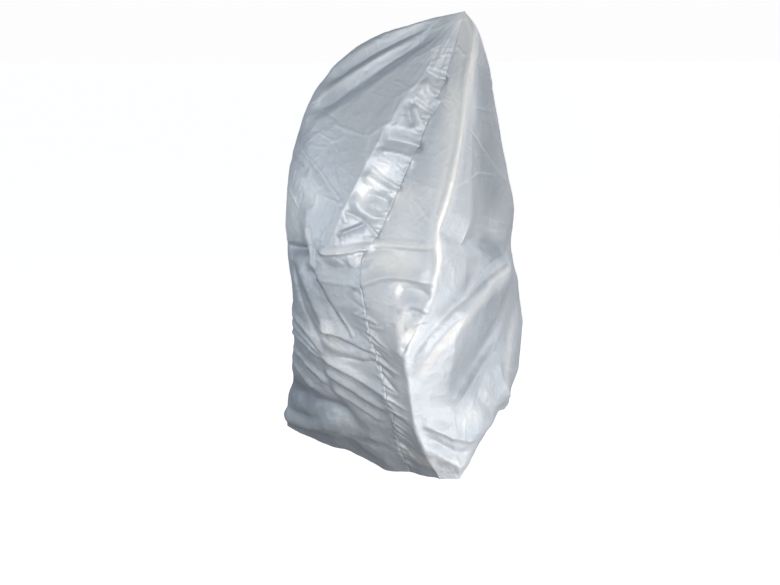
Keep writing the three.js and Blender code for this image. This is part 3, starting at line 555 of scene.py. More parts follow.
@dataclass
class Crumple:
    """The fine unevenness of cloth that has been packed away: waves, dents and straight creases."""

    creases: int = 900
    shortest: float = 30.0
    longest: float = 150.0
    reach: float = 6.5
    rise: float = 0.9
    rise_shares: tuple[float, float] = (0.25, 1.0)
    sunk_or_raised: tuple[float, float] = (0.4, 0.6)
    crease_fades_from: float = 0.4
    crease_sharpness: float = 1.5
    calm_share: int = 12
    rows_round: int = 28
    columns_round: int = 18
    depth: float = 40.0
    waves_mixed: int = 9
    wave_shares: tuple[float, float] = (0.5, 1.0)
    swell_length: float = 260.0
    swell_height: float = 1.6
    bend: float = 5.0
    bend_length: float = 60.0
    pull_round: float = 500.0
    pull_share: float = 0.22
    streaks: tuple[tuple[float, float], ...] = ((80, 2.0), (34, 0.6))
    crushing: tuple[tuple[float, float], ...] = ((105, 3.2), (44, 1.0))
    dent_radius: float = 0.6
    dent_level: float = 0.5
    dent_top: float = 1.6
    taut_until: tuple[float, float] = (520.0, 780.0)
    taut_creasing: float = 1.9

    def waves(self, net: np.ndarray, wavelength: float, height: float,
              rng: np.random.Generator) -> np.ndarray:
        """Soft unevenness from a few plane waves in all directions.

        Args:
            net: Points by row and column, in millimetres.
            wavelength: The length of the longest wave.
            height: How far the waves lift the cloth.
            rng: The seeded generator.

        Returns:
            The lift at each point.
        """
        total = np.zeros(net.shape[:2])
        for _ in range(self.waves_mixed):
            direction = unit(rng.normal(size=3))
            length = wavelength * rng.uniform(*self.wave_shares)
            total += np.cos(net @ direction * (2 * math.pi / length) + rng.uniform(0, 2 * math.pi))
        return height * total / math.sqrt(self.waves_mixed)

    def unevenness(self, net: np.ndarray, normals: np.ndarray, rng: np.random.Generator) -> np.ndarray:
        """All the fine unevenness: drawn out toward the peak where the cloth is taut, crushed below.

        Args:
            net: Points by row and column, in millimetres.
            normals: Outward directions at the points.
            rng: The seeded generator.

        Returns:
            The lift at each point.
        """
        taut = 1 - ease(*self.taut_until, -net[..., 2])
        pulled = unit(net) * self.pull_round + net * self.pull_share
        streaked = sum(self.dents(pulled, size, depth, rng) for size, depth in self.streaks)
        crushed = sum(self.dents(net, size, depth, rng) for size, depth in self.crushing)
        total = self.waves(net, self.swell_length, self.swell_height, rng)
        total += self.straight_creases(net, normals, rng) * mix(1.0, self.taut_creasing, taut)
        return total + mix(crushed, streaked, taut)

    def dents(self, net: np.ndarray, size: float, depth: float, rng: np.random.Generator) -> np.ndarray:
        """Shallow dents that meet in crisp edges, as in cloth that has been crushed.

        Args:
            net: Points by row and column, in millimetres.
            size: How far apart the dents are.
            depth: How deep one is in its middle.
            rng: The seeded generator.

        Returns:
            The lift at each point, lowest in a dent's middle and highest where dents meet.
        """
        low, high = net.min(axis=(0, 1)), net.max(axis=(0, 1))
        bent = net + self.bend * np.sin(net[..., [1, 2, 0]] / self.bend_length)
        steps = [np.arange(low[k] - size, high[k] + 2 * size, size) for k in range(3)]
        lattice = np.stack(np.meshgrid(*steps, indexing="ij"), axis=-1)
        middles = lattice + rng.uniform(-0.5, 0.5, lattice.shape) * size
        cell = np.floor((bent - (low - size)) / size + 0.5).astype(int)
        nearest = np.full(net.shape[:2], np.inf)
        limits = np.array(lattice.shape[:3]) - 1
        for shift in np.ndindex(3, 3, 3):
            place = np.clip(cell + np.array(shift) - 1, 0, limits)
            gap = bent - middles[place[..., 0], place[..., 1], place[..., 2]]
            nearest = np.minimum(nearest, np.einsum("...i,...i", gap, gap))
        risen = np.clip(nearest / (self.dent_radius * size) ** 2, 0, self.dent_top)
        return depth * (risen - self.dent_level)

    def straight_creases(self, net: np.ndarray, normals: np.ndarray, rng: np.random.Generator) -> np.ndarray:
        """Straight creases laid at random over the cloth.

        Args:
            net: Points by row and column, in millimetres.
            normals: Outward directions at the points.
            rng: The seeded generator.

        Returns:
            The lift at each point.
        """
        rows, columns = net.shape[:2]
        total = np.zeros((rows, columns))
        for _ in range(self.creases):
            row = int(rng.integers(rows // self.calm_share, rows))
            column = int(rng.integers(0, columns))
            normal = normals[row, column]
            along = unit(np.cross(normal, rng.normal(size=3)))
            across = np.cross(normal, along)
            half = 0.5 * mix(self.shortest, self.longest, rng.uniform() ** 2)
            rise = self.rise * rng.uniform(*self.rise_shares)
            rise *= rng.choice((-1.0, 1.0), p=self.sunk_or_raised)
            near_rows = np.arange(max(0, row - self.rows_round), min(rows, row + self.rows_round))
            near_columns = np.arange(column - self.columns_round, column + self.columns_round) % columns
            block = np.ix_(near_rows, near_columns)
            local = net[block] - net[row, column]
            s = np.abs(local @ along) / half
            away = np.abs(local @ across) / self.reach
            kept = (s < 1) & (away < 1) & (np.abs(local @ normal) < self.depth)
            slope = (1 - np.clip(away, 0, 1)) ** self.crease_sharpness
            ends = 1 - ease(self.crease_fades_from, 1, s)
            total[block] += np.where(kept, rise * ends * slope, 0)
        return total


@dataclass
class SeamPuckers:
    """Small gathers along a seam, each running from the seam out into a panel."""

    line: str
    from_along: float
    to_along: float
    spacing: float
    run: float
    slope: float
    reach: float
    rise: float
    toward: int
    run_shares: tuple[float, float] = (0.5, 1.3)
    slope_spread: float = 14.0
    rise_shares: tuple[float, float] = (0.5, 1.2)
    raised_share: float = 0.6
    reach_shares: tuple[float, float] = (0.8, 1.2)
    bow_spread: float = 3.0
    crisp: float = 0.7
    spacing_shares: tuple[float, float] = (0.65, 1.35)

    def folds(self, form: DrapedForm, rng: np.random.Generator) -> tuple[Fold, ...]:
        """The gathers as folds.

        Args:
            form: The draped form that has the seam's line.
            rng: The seeded generator.

        Returns:
            One fold for each gather, starting at the seam.
        """
        line = next(entry for entry in LINES if entry.name == self.line)
        made = []
        along = self.from_along
        while along < self.to_along:
            x, _, z = form.line_points(line, np.array([along]))[0]
            run = self.run * rng.uniform(*self.run_shares)
            slope = math.radians(self.slope + rng.uniform(-self.slope_spread, self.slope_spread))
            end_x = x + self.toward * run * math.cos(slope)
            end_drop = -z + run * math.sin(slope)
            rise = self.rise * rng.uniform(*self.rise_shares)
            rise *= 1 if rng.uniform() < self.raised_share else -1
            reach = self.reach * rng.uniform(*self.reach_shares)
            bow = rng.uniform(-self.bow_spread, self.bow_spread)
            made.append(Fold("gather", x, -z, end_x, end_drop, bow, reach, reach, rise, self.crisp,
                             open_start=True))
            along += self.spacing * rng.uniform(*self.spacing_shares)
        return tuple(made)


@dataclass
class HungCloth:
    """The whole cover's cloth as one net, before it is cut into its panels."""

    form: DrapedForm = field(default_factory=DrapedForm)
    crumple: Crumple = field(default_factory=Crumple)
    row_crowding: float = 1.02
    tip_calm: tuple[float, float] = (0.01, 0.09)
    folds_start: tuple[float, float] = (0.0, 0.05)
    plain_wear: float = 0.40
    crease_paling: float = 0.045
    rim_roll: float = 7.0
    rim_starts: tuple[float, float] = (0.02, 0.2)
    rim_reach: float = 26.0
    rim_belly: float = 0.3
    rim_fades: tuple[float, float] = (600.0, 860.0)
    # A band along the near rim and a thin line along the far rim are painted paler: painted highlights on
    # those ridges.
    rim_painted_highlight: float = 0.52
    rim_band: tuple[float, float] = (96.0, 46.0)
    rim_band_narrows: tuple[float, float] = (0.0, 0.5)
    rim_band_flat: float = 0.2
    rim_band_share: float = 0.62
    far_rim_band: float = 9.0
    far_rim_painted_highlight: float = 0.35
    near_gathers: tuple[SeamPuckers, ...] = (
        SeamPuckers("near_seam", 0.12, 0.50, 0.0115, 44, -16, 8, 4.6, -1),
        SeamPuckers("near_seam", 0.13, 0.50, 0.0130, 20, 20, 7, 2.0, 1),
        SeamPuckers("near_seam", 0.55, 0.97, 0.0170, 70, -26, 11, 3.0, -1),
        SeamPuckers("near_seam", 0.62, 0.98, 0.0135, 74, 30, 10, 8.0, 1),
    )
    far_gathers: tuple[SeamPuckers, ...] = (
        SeamPuckers("far_seam", 0.08, 0.97, 0.0180, 55, 18, 10, 3.4, -1),
        SeamPuckers("far_seam", 0.08, 0.97, 0.0180, 45, 24, 9, 2.6, 1),
    )

    def build(self) -> None:
        """Works out the net, its outward directions and the marks that the finish reads."""
        rng = np.random.default_rng(SEED)
        form = self.form
        alongs = np.linspace(0, 1, form.rows) ** self.row_crowding
        base = form.base_net(alongs)
        outward = net_normals(base)
        rim = self.rim_share(base)
        lean = form.leans(base, FOLDS)
        lean -= outward * np.sum(lean * outward, axis=-1, keepdims=True)
        roll = self.rim_roll * rim * ease(*self.rim_starts, alongs)[:, None]
        net = base + outward * (self.main_lift(base, alongs) + roll)[..., None] + lean
        self.drop_hem(net, base, alongs)
        net[..., 2] += TIP_THICK
        normals = net_normals(net)
        fine = form.lifts(base, CREASES) + form.lifts(base, self.gathers(rng))
        fine += self.crumple.unevenness(net, normals, rng)
        fine *= ease(*self.tip_calm, alongs)[:, None]
        net += normals * fine[..., None]
        self.net = net
        self.normals = net_normals(net)
        self.wear_and_painted_light = self.paleness(base, rim, alongs)
        self.alongs = alongs

    def paleness(self, base: np.ndarray, rim: np.ndarray, alongs: np.ndarray) -> np.ndarray:
        """How pale the cloth is painted at each point, from 0 to 1: painted light and painted shade from the
        patches and rim bands, and crease whitening.

        Args:
            base: The plain form's points.
            rim: How much each point belongs to the near rim's roll.
            alongs: How far down each row is.

        Returns:
            The paleness at each point.
        """
        form = self.form
        # Painted highlights: a band along the near rim, narrowing lower down, and a thin line along the far
        # rim.
        reach = mix(*self.rim_band, ease(*self.rim_band_narrows, alongs))[:, None]
        band = 1 - ease(self.rim_band_flat, 1, self.away_from(base, "near_rim") / reach)
        band *= self.rim_band_share * self.rim_fade(base)
        far_line = 1 - ease(0, 1, self.away_from(base, "far_rim") / self.far_rim_band)
        # The near patches are painted light and painted shade; the far ones only make regions paler or
        # darker.
        total = self.plain_wear + form.lifts(base, PAINTED_LIGHT_PATCHES)
        total += self.crease_paling * form.lifts(base, CREASES)
        total += self.rim_painted_highlight * np.maximum(band, rim) + self.far_rim_painted_highlight * far_line
        return np.clip(total, 0, 1)

    def main_lift(self, base: np.ndarray, alongs: np.ndarray) -> np.ndarray:
        """How far the main folds lift the plain form, with the hem drawn in at its edge.

        Args:
            base: The plain form's points.
            alongs: How far down each row is.

        Returns:
            The lift at each point, in millimetres.
        """
        form = self.form
        turned = form.hem_turn_depth * ease(form.hem_turn_from, 1, alongs)[:, None]
        return (form.lifts(base, FOLDS) - turned) * ease(*self.folds_start, alongs)[:, None]

    def drop_hem(self, net: np.ndarray, base: np.ndarray, alongs: np.ndarray) -> None:
        """Lets the hem hang lower or higher where it swags."""
        form = self.form
        near = form.nearness()[None, :]
        low = ease(form.hem_swag_from, 1, alongs)[:, None]
        for side, share in ((Side.NEAR, near), (Side.FAR, 1 - near)):
            for x, reach, drop in form.hem_swags[side]:
                net[..., 2] -= drop * share * (1 - ease(0, reach, np.abs(base[..., 0] - x))) * low

    def gathers(self, rng: np.random.Generator) -> dict[Side, tuple[Fold, ...]]:
        """The gathers along both seams, by side."""
        return {
            Side.NEAR: tuple(fold for run in self.near_gathers for fold in run.folds(self.form, rng)),
            Side.FAR: tuple(fold for run in self.far_gathers for fold in run.folds(self.form, rng)),
        }

    def away_from(self, net: np.ndarray, name: str) -> np.ndarray:
        """How far each point is from a tight line in its own row, in millimetres."""
        return np.linalg.norm(net - net[:, [self.form.column_of(name)]], axis=2)

    def rim_fade(self, net: np.ndarray) -> np.ndarray:
        """How much of the near rim's roll is left at each point, less in the belly."""
        return mix(1.0, self.rim_belly, ease(*self.rim_fades, -net[..., 2]))

    def rim_share(self, net: np.ndarray) -> np.ndarray:
        """How much each point belongs to the roll along the near rim, most on the rim itself."""
        return (1 - ease(0, 1, self.away_from(net, "near_rim") / self.rim_reach)) * self.rim_fade(net)


@dataclass
class Panel:
    """One cut panel of the cover, with its seam edges and its hem turned in."""

    node: str
    slot: str
    from_line: str
    to_line: str
    flat: tuple[float, float]
    flat_area: float
    seam_gap: float = 0.4
    seam_dip: float = 1.4
    seam_turns: tuple[float, ...] = (4.0, 10.0)
    hem_space: float = 2.6
    hem_round: float = 1.0
    tip_clear: tuple[float, float] = (0.01, 0.06)

    def build(self, cloth: HungCloth, finish: bpy.types.Material) -> bpy.types.Object:
        """Makes the panel from a grid that is laid on the hung cloth.

        Args:
            cloth: The hung cloth.
            finish: The cloth's finish.

        Returns:
            The panel's object.
        """
        form = cloth.form
        first = form.column_of(self.from_line)
        count = (form.column_of(self.to_line) - first) % form.columns() + 1
        picked = (first + np.arange(count)) % form.columns()
        points = cloth.net[:, picked].copy()
        normals = cloth.normals[:, picked]
        wear_and_painted_light = cloth.wear_and_painted_light[:, picked]
        points, normals, wear_and_painted_light = self.with_seam_edges(points, normals, wear_and_painted_light, cloth.alongs)
        points, wear_and_painted_light = self.with_hem(points, normals, wear_and_painted_light, form.hem_rows)
        return self.lay(points * MM, wear_and_painted_light, finish)

    def with_seam_edges(self, points: np.ndarray, normals: np.ndarray, wear_and_painted_light: np.ndarray,
                        alongs: np.ndarray) -> tuple[np.ndarray, np.ndarray, np.ndarray]:
        """Adds the columns of the seam edges, turned in side by side with the next panel's.

        Args:
            points: The panel's points, in millimetres.
            normals: Outward directions at the points.
            wear_and_painted_light: How pale each point is painted, by crease whitening, painted light and
                painted shade.
            alongs: How far down each row is.

        Returns:
            The points, directions and wear with the turned edges.
        """
        depth = ease(*self.tip_clear, alongs)[:, None, None]
        for edge, inner in ((0, 2), (-1, -3)):
            away = unit(points[:, [inner]] - points[:, [edge]])
            out = normals[:, [edge]]
            points[:, [edge]] += away * (self.seam_gap / 2) - out * self.seam_dip * depth
            turned = [points[:, [edge]] - out * turn * depth for turn in self.seam_turns]
            marks = [wear_and_painted_light[:, [edge]]] * len(turned)
            ways = [out] * len(turned)
            if edge == 0:
                points = np.concatenate((*turned[::-1], points), axis=1)
                wear_and_painted_light = np.concatenate((*marks, wear_and_painted_light), axis=1)
                normals = np.concatenate((*ways, normals), axis=1)
            else:
                points = np.concatenate((points, *turned), axis=1)
                wear_and_painted_light = np.concatenate((wear_and_painted_light, *marks), axis=1)
                normals = np.concatenate((normals, *ways), axis=1)
        return points, normals, wear_and_painted_light

    def with_hem(self, points: np.ndarray, normals: np.ndarray, wear_and_painted_light: np.ndarray,
                 hem_rows: int) -> tuple[np.ndarray, np.ndarray]:
        """Adds the rows of the hem, turned in and up behind the cloth.

        Args:
            points: The panel's points, in millimetres.
            normals: Outward directions at the points.
            wear_and_painted_light: How pale each point is painted, by crease whitening, painted light and
                painted shade.
            hem_rows: How many rows the hem turns up.

        Returns:
            The points and the wear with the hem's rows.
        """
        bottom = points[-1:] - normals[-1:] * (self.hem_space / 2)
        bottom[..., 2] -= self.hem_round
        behind = [points[-1 - back:-back] - normals[-1 - back:-back] * self.hem_space
                  for back in range(1, hem_rows)]
        marks = [wear_and_painted_light[-1:]] * hem_rows
        return np.concatenate((points, bottom, *behind)), np.concatenate((wear_and_painted_light, *marks))

    def lay(self, points: np.ndarray, wear_and_painted_light: np.ndarray, finish: bpy.types.Material) -> bpy.types.Object:
        """Lays a grid over the panel's points and gives it its cut, its marks and its finish.

        Args:
            points: The panel's points by row and column, in metres.
            wear_and_painted_light: How pale each point is painted, by crease whitening, painted light and
                painted shade.
            finish: The cloth's finish.

        Returns:
            The panel's object.
        """
        rows, columns = points.shape[:2]
        bm = bmesh.new()
        bmesh.ops.create_grid(bm, x_segments=columns - 1, y_segments=rows - 1, size=1.0)
        mesh = bpy.data.meshes.new(self.node)
        bm.to_mesh(mesh)
        bm.free()
        grid = np.empty(len(mesh.vertices) * 3)
        mesh.vertices.foreach_get("co", grid)
        grid = grid.reshape(-1, 3)
        column = np.rint((grid[:, 0] + 1) / 2 * (columns - 1)).astype(int)
        row = np.rint((1 - grid[:, 1]) / 2 * (rows - 1)).astype(int)
        mesh.vertices.foreach_set("co", points[row, column].ravel())
        # The paleness mark: crease whitening, painted light and painted shade.
        mark = mesh.attributes.new("wear_and_painted_light", "FLOAT", "POINT")
        mark.data.foreach_set("value", wear_and_painted_light[row, column].ravel())
        down = np.cumsum(np.linalg.norm(np.diff(points, axis=0, prepend=points[:1]), axis=2), axis=0)
        across = np.cumsum(np.linalg.norm(np.diff(points, axis=1, prepend=points[:, :1]), axis=2), axis=1)
        cut = np.stack((across, down), axis=-1)[row, column]
        corner = np.empty(len(mesh.loops), int)
        mesh.loops.foreach_get("vertex_index", corner)
        mesh.uv_layers.new(name="cut").uv.foreach_set("vector", cut[corner].ravel())
        self.close_tip(mesh, row)
        mesh.shade_smooth()
        mesh.materials.append(finish)
        piece = bpy.data.objects.new(f"{self.node}_cloth", mesh)
        bpy.context.scene.collection.objects.link(piece)
        LOG.info("%s: %d rows, %d columns, %.3f square metres", piece.name, rows, columns,
                 sum(face.area for face in mesh.polygons))
        return piece

    @staticmethod
    def close_tip(mesh: bpy.types.Mesh, row: np.ndarray) -> None:
        """Merges the panel's first row, which is one point at the tip."""
        bm = bmesh.new()
        bm.from_mesh(mesh)
        bm.verts.ensure_lookup_table()
        tip = [bm.verts[int(index)] for index in np.flatnonzero(row == 0)]
        bmesh.ops.pointmerge(bm, verts=tip, merge_co=tip[len(tip) // 2].co)
        bm.to_mesh(mesh)
        bm.free()


class NodePen:
    """A small helper that adds and joins shader nodes in one tree."""

    def __init__(self, tree: bpy.types.NodeTree) -> None:
        """Keeps the tree that the nodes go into."""
        self.tree = tree

    def add(self, kind: str, settings: dict[str, object] | None = None,
            **values: object) -> bpy.types.Node:
        """Adds a node.

        Args:
            kind: The node's type name.
            settings: Properties of the node itself.
            values: Input values or output sockets to join, by the input's name with _ for a space,
                or by i and its number where several inputs share a name.

        Returns:
            The node.
        """
        node = self.tree.nodes.new(kind)
        for key, value in (settings or {}).items():
            setattr(node, key, value)
        for key, value in values.items():
            name = key.replace("_", " ")
            numbered = name[0] == "i" and name[1:].isdigit()
            self.put(node.inputs[int(name[1:]) if numbered else name], value)
        return node

    def put(self, socket: bpy.types.NodeSocket, value: object) -> None:
        """Joins an output socket to an input, or sets the input's value."""
        if isinstance(value, bpy.types.NodeSocket):
            self.tree.links.new(value, socket)
        else:
            socket.default_value = value

    def combine(self, operation: str, first: object, second: object,
                clamp: bool = False) -> bpy.types.NodeSocket:
        """The output of a math node of two values."""
        node = self.add("ShaderNodeMath", {"operation": operation, "use_clamp": clamp}, i0=first, i1=second)
        return node.outputs[0]


class CoatedClothGrain:
    """The node group of the coated cloth's weave, fine creases and mottling.

    A scale is how many of the pattern's cells or waves there are in a metre.
    """

    bend_scale: float = 7.0
    bend_reach: float = 0.05
    dents: tuple[tuple[float, float], ...] = ((36.0, 1.0), (85.0, 0.42))
    creases: tuple[tuple[float, float], ...] = ((9.0, 0.6), (24.0, 0.4))
    crease_width: float = 0.06
    creased_patch: float = 0.7
    creased_from: tuple[float, float] = (0.48, 0.62)
    threads: float = 420.0
    thread_waver: float = 0.4
    mottle_scale: float = 6.0
    mottle_detail: float = 6.0
    mottle_roughness: float = 0.6

    def __init__(self) -> None:
        """Builds the group once, for every finish that uses it."""
        self.tree = bpy.data.node_groups.new("coated_cloth_grain", "ShaderNodeTree")
        face = self.tree.interface
        for name, kind in (("Place", "NodeSocketVector"), ("Cut", "NodeSocketVector"),
                           ("Crease Amount", "NodeSocketFloat"), ("Dent Amount", "NodeSocketFloat"),
                           ("Weave Amount", "NodeSocketFloat")):
            face.new_socket(name=name, in_out="INPUT", socket_type=kind)
        for name in ("Height", "Mottle", "Crease"):
            face.new_socket(name=name, in_out="OUTPUT", socket_type="NodeSocketFloat")
        self.draw()

    def draw(self) -> None:
        """Draws the group's nodes."""
        pen = NodePen(self.tree)
        given = pen.add("NodeGroupInput")
        place, cut = given.outputs["Place"], given.outputs["Cut"]
        bend = pen.add("ShaderNodeTexNoise", Vector=place, Scale=self.bend_scale, Detail=1.0)
        bent = pen.add("ShaderNodeVectorMath", {"operation": "MULTIPLY_ADD"}, i0=bend.outputs["Color"],
                       i1=(self.bend_reach,) * 3, i2=place)
        crushed = None
        for scale, share in self.dents:
            dents = pen.add("ShaderNodeTexVoronoi", Vector=bent.outputs[0], Scale=scale)
            part = pen.combine("MULTIPLY", dents.outputs["Distance"], dents.outputs["Distance"])
            part = pen.combine("MULTIPLY", part, share)
            crushed = part if crushed is None else pen.combine("ADD", crushed, part)
        creases = None
        for scale, share in self.creases:
            cells = pen.add("ShaderNodeTexVoronoi", {"feature": "DISTANCE_TO_EDGE"}, Vector=bent.outputs[0],
                            Scale=scale)
            edge = pen.add("ShaderNodeMapRange", {"interpolation_type": "SMOOTHSTEP"},
                           Value=cells.outputs["Distance"], From_Max=self.crease_width, To_Min=1.0,
                           To_Max=0.0)
            patch = pen.add("ShaderNodeTexNoise", Vector=place, Scale=scale * self.creased_patch, Detail=1.0)
            kept = pen.add("ShaderNodeMapRange", {"interpolation_type": "SMOOTHSTEP"},
                           Value=patch.outputs["Fac"], From_Min=self.creased_from[0],
                           From_Max=self.creased_from[1])
            line = pen.combine("MULTIPLY", edge.outputs[0], kept.outputs[0])
            line = pen.combine("MULTIPLY", line, share)
            creases = line if creases is None else pen.combine("ADD", creases, line)
        weave = None
        for way in ("X", "Y"):
            wave = pen.add("ShaderNodeTexWave", {"bands_direction": way}, Vector=cut, Scale=self.threads,
                           Distortion=self.thread_waver).outputs["Fac"]
            weave = wave if weave is None else pen.combine("MULTIPLY", weave, wave)
        mottle = pen.add("ShaderNodeTexNoise", Vector=place, Scale=self.mottle_scale,
                         Detail=self.mottle_detail, Roughness=self.mottle_roughness)
        rough = pen.combine("MULTIPLY", creases, given.outputs["Crease Amount"])
        rough = pen.combine("ADD", rough, pen.combine("MULTIPLY", crushed, given.outputs["Dent Amount"]))
        fine = pen.combine("MULTIPLY", weave, given.outputs["Weave Amount"])
        out = pen.add("NodeGroupOutput")
        pen.put(out.inputs["Height"], pen.combine("ADD", rough, fine))
        pen.put(out.inputs["Mottle"], mottle.outputs["Fac"])
        pen.put(out.inputs["Crease"], creases)


@dataclass(frozen=True)
class CoatedCloth:
    """Silver-grey coated polyester cloth: its coated face outside, its dull back inside."""

    name: str
    # The tone ramp runs from dull at 0, the colour of the painted shade, through plain, the cloth's own
    # colour, to pale at 1, the colour of the painted light.
    dull: tuple[float, float, float]
    plain: tuple[float, float, float]
    pale: tuple[float, float, float]
    back: tuple[float, float, float] = (0.33, 0.34, 0.35)
    plain_at: float = 0.62
    crease_paling: float = 0.12
    mottle_paling: float = 0.2
    roughness: tuple[float, float] = (0.45, 0.61)
    metallic: float = 0.32
    bump: float = 0.0016
    bump_strength: float = 0.6
    crease_amount: float = 0.7
    dent_amount: float = 1.5
    weave_amount: float = 0.08

    def material(self, grain: CoatedClothGrain) -> bpy.types.Material:
        """Builds the finish.

        Args:
            grain: The grain's node group.

        Returns:
            A node material that reads Object coordinates, the cut's UV map and the paleness marks of crease
            whitening, painted light and painted shade.
        """
        material = bpy.data.materials.new(self.name)
        material.use_nodes = True
        tree = material.node_tree
        pen = NodePen(tree)
        shader = tree.nodes["Principled BSDF"]
        shader.inputs["Metallic"].default_value = self.metallic
        place = pen.add("ShaderNodeTexCoord").outputs["Object"]
        cut = pen.add("ShaderNodeUVMap", {"uv_map": "cut"}).outputs["UV"]
        wear_and_painted_light = pen.add("ShaderNodeAttribute", {"attribute_name": "wear_and_painted_light"}).outputs["Fac"]
        group = pen.add("ShaderNodeGroup", {"node_tree": grain.tree}, Place=place, Cut=cut,
                        Crease_Amount=self.crease_amount, Dent_Amount=self.dent_amount,
                        Weave_Amount=self.weave_amount)
        mottle = group.outputs["Mottle"]
        # Fine creases are painted paler, as crease whitening; the paleness mark adds the painted light and
        # painted shade.
        worn_and_shaded = pen.combine("MULTIPLY", group.outputs["Crease"], self.crease_paling)
        worn_and_shaded = pen.combine("ADD", worn_and_shaded, wear_and_painted_light)
        mottled = pen.combine("MULTIPLY", mottle, self.mottle_paling)
        worn_and_shaded = pen.combine("ADD", worn_and_shaded, mottled, clamp=True)
        tones = pen.add("ShaderNodeValToRGB", Fac=worn_and_shaded)
        stops = tones.color_ramp.elements
        stops[0].color = (*self.dull, 1)
        stops[1].color = (*self.pale, 1)
        stops.new(self.plain_at).color = (*self.plain, 1)
        inside = pen.add("ShaderNodeNewGeometry").outputs["Backfacing"]
        shown = pen.add("ShaderNodeMix", {"data_type": "RGBA"}, i0=inside, i6=tones.outputs[0],
                        i7=(*self.back, 1))
        pen.put(shader.inputs["Base Color"], shown.outputs[2])
        gloss = pen.add("ShaderNodeMapRange", Value=mottle, To_Min=self.roughness[0],
                        To_Max=self.roughness[1])
        pen.put(shader.inputs["Roughness"], gloss.outputs[0])
        bump = pen.add("ShaderNodeBump", Strength=self.bump_strength, Distance=self.bump,
                       Height=group.outputs["Height"])
        pen.put(shader.inputs["Normal"], bump.outputs[0])
        return material


@dataclass(frozen=True)
class SoftLight:
    """One broad, soft light from far away, by where it comes from as seen from the camera, in degrees."""

    name: str
    right: float
    up: float
    spread: float
    strength: float
    colour: tuple[float, float, float] = (1.0, 1.0, 1.0)

    def add(self) -> None:
        """Hangs the light."""
        light = bpy.data.lights.new(self.name, "SUN")
        light.energy = self.strength
        light.angle = math.radians(self.spread)
        light.color = self.colour
        holder = bpy.data.objects.new(self.name, light)
        holder.rotation_euler = (math.radians(90 - self.up), 0, math.radians(self.right))
        bpy.context.scene.collection.objects.link(holder)


@dataclass(frozen=True)
class SoftBox:
    """One square soft box close by, by its direction in degrees and its height below the peak."""

    name: str
    right: float
    drop: float
    watts: float
    colour: tuple[float, float, float] = (1.0, 1.0, 1.0)
    side: float = 0.8
    away: float = 1.7
    aim: tuple[float, float, float] = (-0.2, 0.0, -0.8)

    def add(self) -> None:
        """Sets up the soft box, out of the camera's sight."""
        light = bpy.data.lights.new(self.name, "AREA")
        light.shape = "SQUARE"
        light.size = self.side
        light.energy = self.watts
        light.color = self.colour
        turn = math.radians(self.right)
        holder = bpy.data.objects.new(self.name, light)
        holder.location = (self.aim[0] + self.away * math.sin(turn), -self.away * math.cos(turn), -self.drop)
        holder.rotation_euler = (Vector(self.aim) - holder.location).to_track_quat("-Z", "Y").to_euler()
        holder.visible_camera = False
        bpy.context.scene.collection.objects.link(holder)


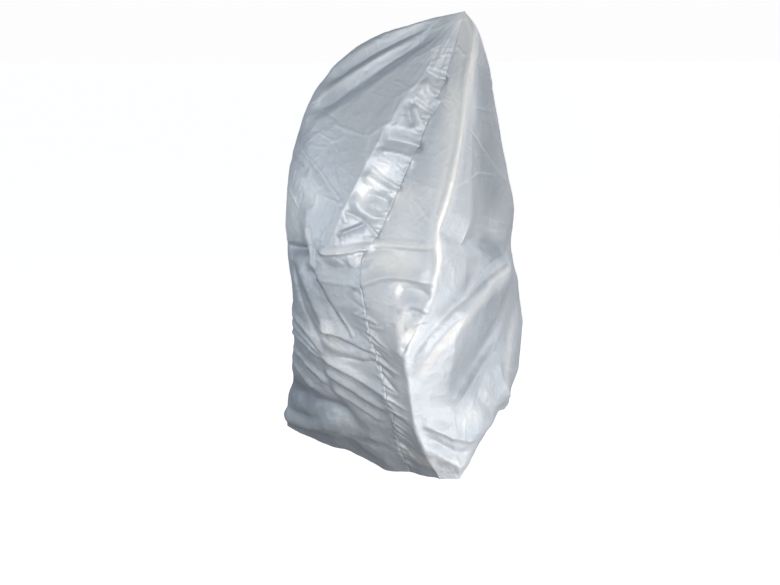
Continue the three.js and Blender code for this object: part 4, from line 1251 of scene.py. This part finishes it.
@dataclass
class Studio:
    """The floor, the soft lights and the camera of the photo's view."""

    floor_drop: float = 1.878
    floor_half: float = 60.0
    floor_glow: float = 0.74
    floor_light: tuple[float, float, float] = (1.0, 0.985, 0.975)
    floor_seen: tuple[float, float, float] = (0.8, 0.8, 0.81)
    floor_cast: tuple[float, float, float] = (0.22, 0.22, 0.23)
    floor_roughness: float = 0.9
    floor_gloss: float = 0.1
    camera_at: tuple[float, float, float] = (-0.235, -2.057, -0.0895)
    pitch_down: float = 22.94
    lens: float = 27.23
    sensor: float = 36.0
    sees_to: float = 200.0
    air: tuple[float, float, float] = (0.86, 0.93, 1.0)
    air_low: float = 0.36
    air_high: float = 0.30
    air_high_at: float = 0.7
    backdrop: float = 0.985
    lights: tuple[SoftLight | SoftBox, ...] = (
        SoftBox("front_box", 15, 0.3, 17.0, (1.0, 0.985, 0.97)),
        SoftBox("left_box", -75, 0.3, 7.5, (0.88, 0.94, 1.0)),
        SoftBox("low_right_box", 40, 1.5, 8.5, (1.0, 0.98, 0.95)),
        SoftBox("right_box", 75, 1.5, 3.5, (0.90, 0.95, 1.0)),
        SoftBox("rear_box", 165, 0.3, 9.0, (0.97, 0.98, 1.0)),
        SoftLight("back_light", 135, 4, 50, 1.0, (0.97, 0.98, 1.0)),
    )

    def build(self) -> None:
        """Makes the floor, the lights and the camera."""
        bpy.context.scene.view_settings.view_transform = "Standard"
        self.floor()
        for light in self.lights:
            light.add()
        self.sky()
        self.camera()

    def camera(self) -> None:
        """Places the camera where the photo was taken."""
        camera = bpy.data.cameras.new("photo_camera")
        camera.lens = self.lens
        camera.sensor_width = self.sensor
        camera.clip_end = self.sees_to
        eye = bpy.data.objects.new("photo_camera", camera)
        eye.location = self.camera_at
        eye.rotation_euler = (math.radians(90 - self.pitch_down), 0, 0)
        bpy.context.scene.collection.objects.link(eye)
        bpy.context.scene.camera = eye

    def sky(self) -> None:
        """Fills the studio with soft, slightly cool light, brightest low down, before a white backdrop."""
        world = bpy.data.worlds.new("studio_air")
        bpy.context.scene.world = world
        world.use_nodes = True
        pen = NodePen(world.node_tree)
        way = pen.add("ShaderNodeSeparateXYZ", Vector=pen.add("ShaderNodeTexCoord").outputs["Generated"])
        amount = pen.add("ShaderNodeMapRange", {"interpolation_type": "SMOOTHSTEP"}, Value=way.outputs["Z"],
                         From_Max=self.air_high_at, To_Min=self.air_low, To_Max=self.air_high)
        fill = world.node_tree.nodes["Background"]
        fill.inputs["Color"].default_value = (*self.air, 1)
        pen.put(fill.inputs["Strength"], amount.outputs[0])
        seen = pen.add("ShaderNodeBackground", Color=(*[self.backdrop] * 3, 1), Strength=1.0)
        ray = pen.add("ShaderNodeLightPath").outputs["Is Camera Ray"]
        both = pen.add("ShaderNodeMixShader", i0=ray, i1=fill.outputs[0], i2=seen.outputs[0])
        pen.put(world.node_tree.nodes["World Output"].inputs["Surface"], both.outputs[0])

    def floor(self) -> None:
        """Lays the plain pale floor, which glows for the camera and casts little light on the cloth."""
        bm = bmesh.new()
        bmesh.ops.create_grid(bm, x_segments=1, y_segments=1, size=self.floor_half)
        bmesh.ops.translate(bm, verts=bm.verts, vec=(0, 0, -self.floor_drop))
        mesh = bpy.data.meshes.new("floor")
        bm.to_mesh(mesh)
        bm.free()
        floor = bpy.data.objects.new("floor", mesh)
        bpy.context.scene.collection.objects.link(floor)
        material = bpy.data.materials.new("floor_pale")
        material.use_nodes = True
        pen = NodePen(material.node_tree)
        shader = material.node_tree.nodes["Principled BSDF"]
        shader.inputs["Roughness"].default_value = self.floor_roughness
        shader.inputs["Specular IOR Level"].default_value = self.floor_gloss
        shader.inputs["Emission Color"].default_value = (*self.floor_light, 1)
        ray = pen.add("ShaderNodeLightPath").outputs["Is Camera Ray"]
        tone = pen.add("ShaderNodeMix", {"data_type": "RGBA"}, i0=ray, i6=(*self.floor_cast, 1),
                       i7=(*self.floor_seen, 1))
        pen.put(shader.inputs["Base Color"], tone.outputs[2])
        pen.put(shader.inputs["Emission Strength"], pen.combine("MULTIPLY", ray, self.floor_glow))
        mesh.materials.append(material)


def main() -> None:
    """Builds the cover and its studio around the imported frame."""
    logging.basicConfig(level=logging.INFO, format="%(name)s: %(message)s")
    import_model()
    Studio().build()
    cloth = HungCloth()
    cloth.build()
    grain = CoatedClothGrain()
    panels = (
        (Panel("pole_panel", "pole_panel_cloth", "far_seam", "near_seam", (1.36, 1.95), 1.95),
         CoatedCloth("pole_panel_finish", (0.41, 0.455, 0.515), (0.65, 0.69, 0.73), (0.84, 0.86, 0.87))),
        (Panel("mouth_panel", "mouth_panel_cloth", "near_seam", "far_seam", (1.47, 1.90), 1.85),
         CoatedCloth("mouth_panel_finish", (0.43, 0.47, 0.51), (0.67, 0.70, 0.74), (0.90, 0.895, 0.87))),
    )
    for panel, finish in panels:
        piece = panel.build(cloth, finish.material(grain))
        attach(piece, BODY)
        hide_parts(panel.node)


if __name__ == "__main__":
    main()
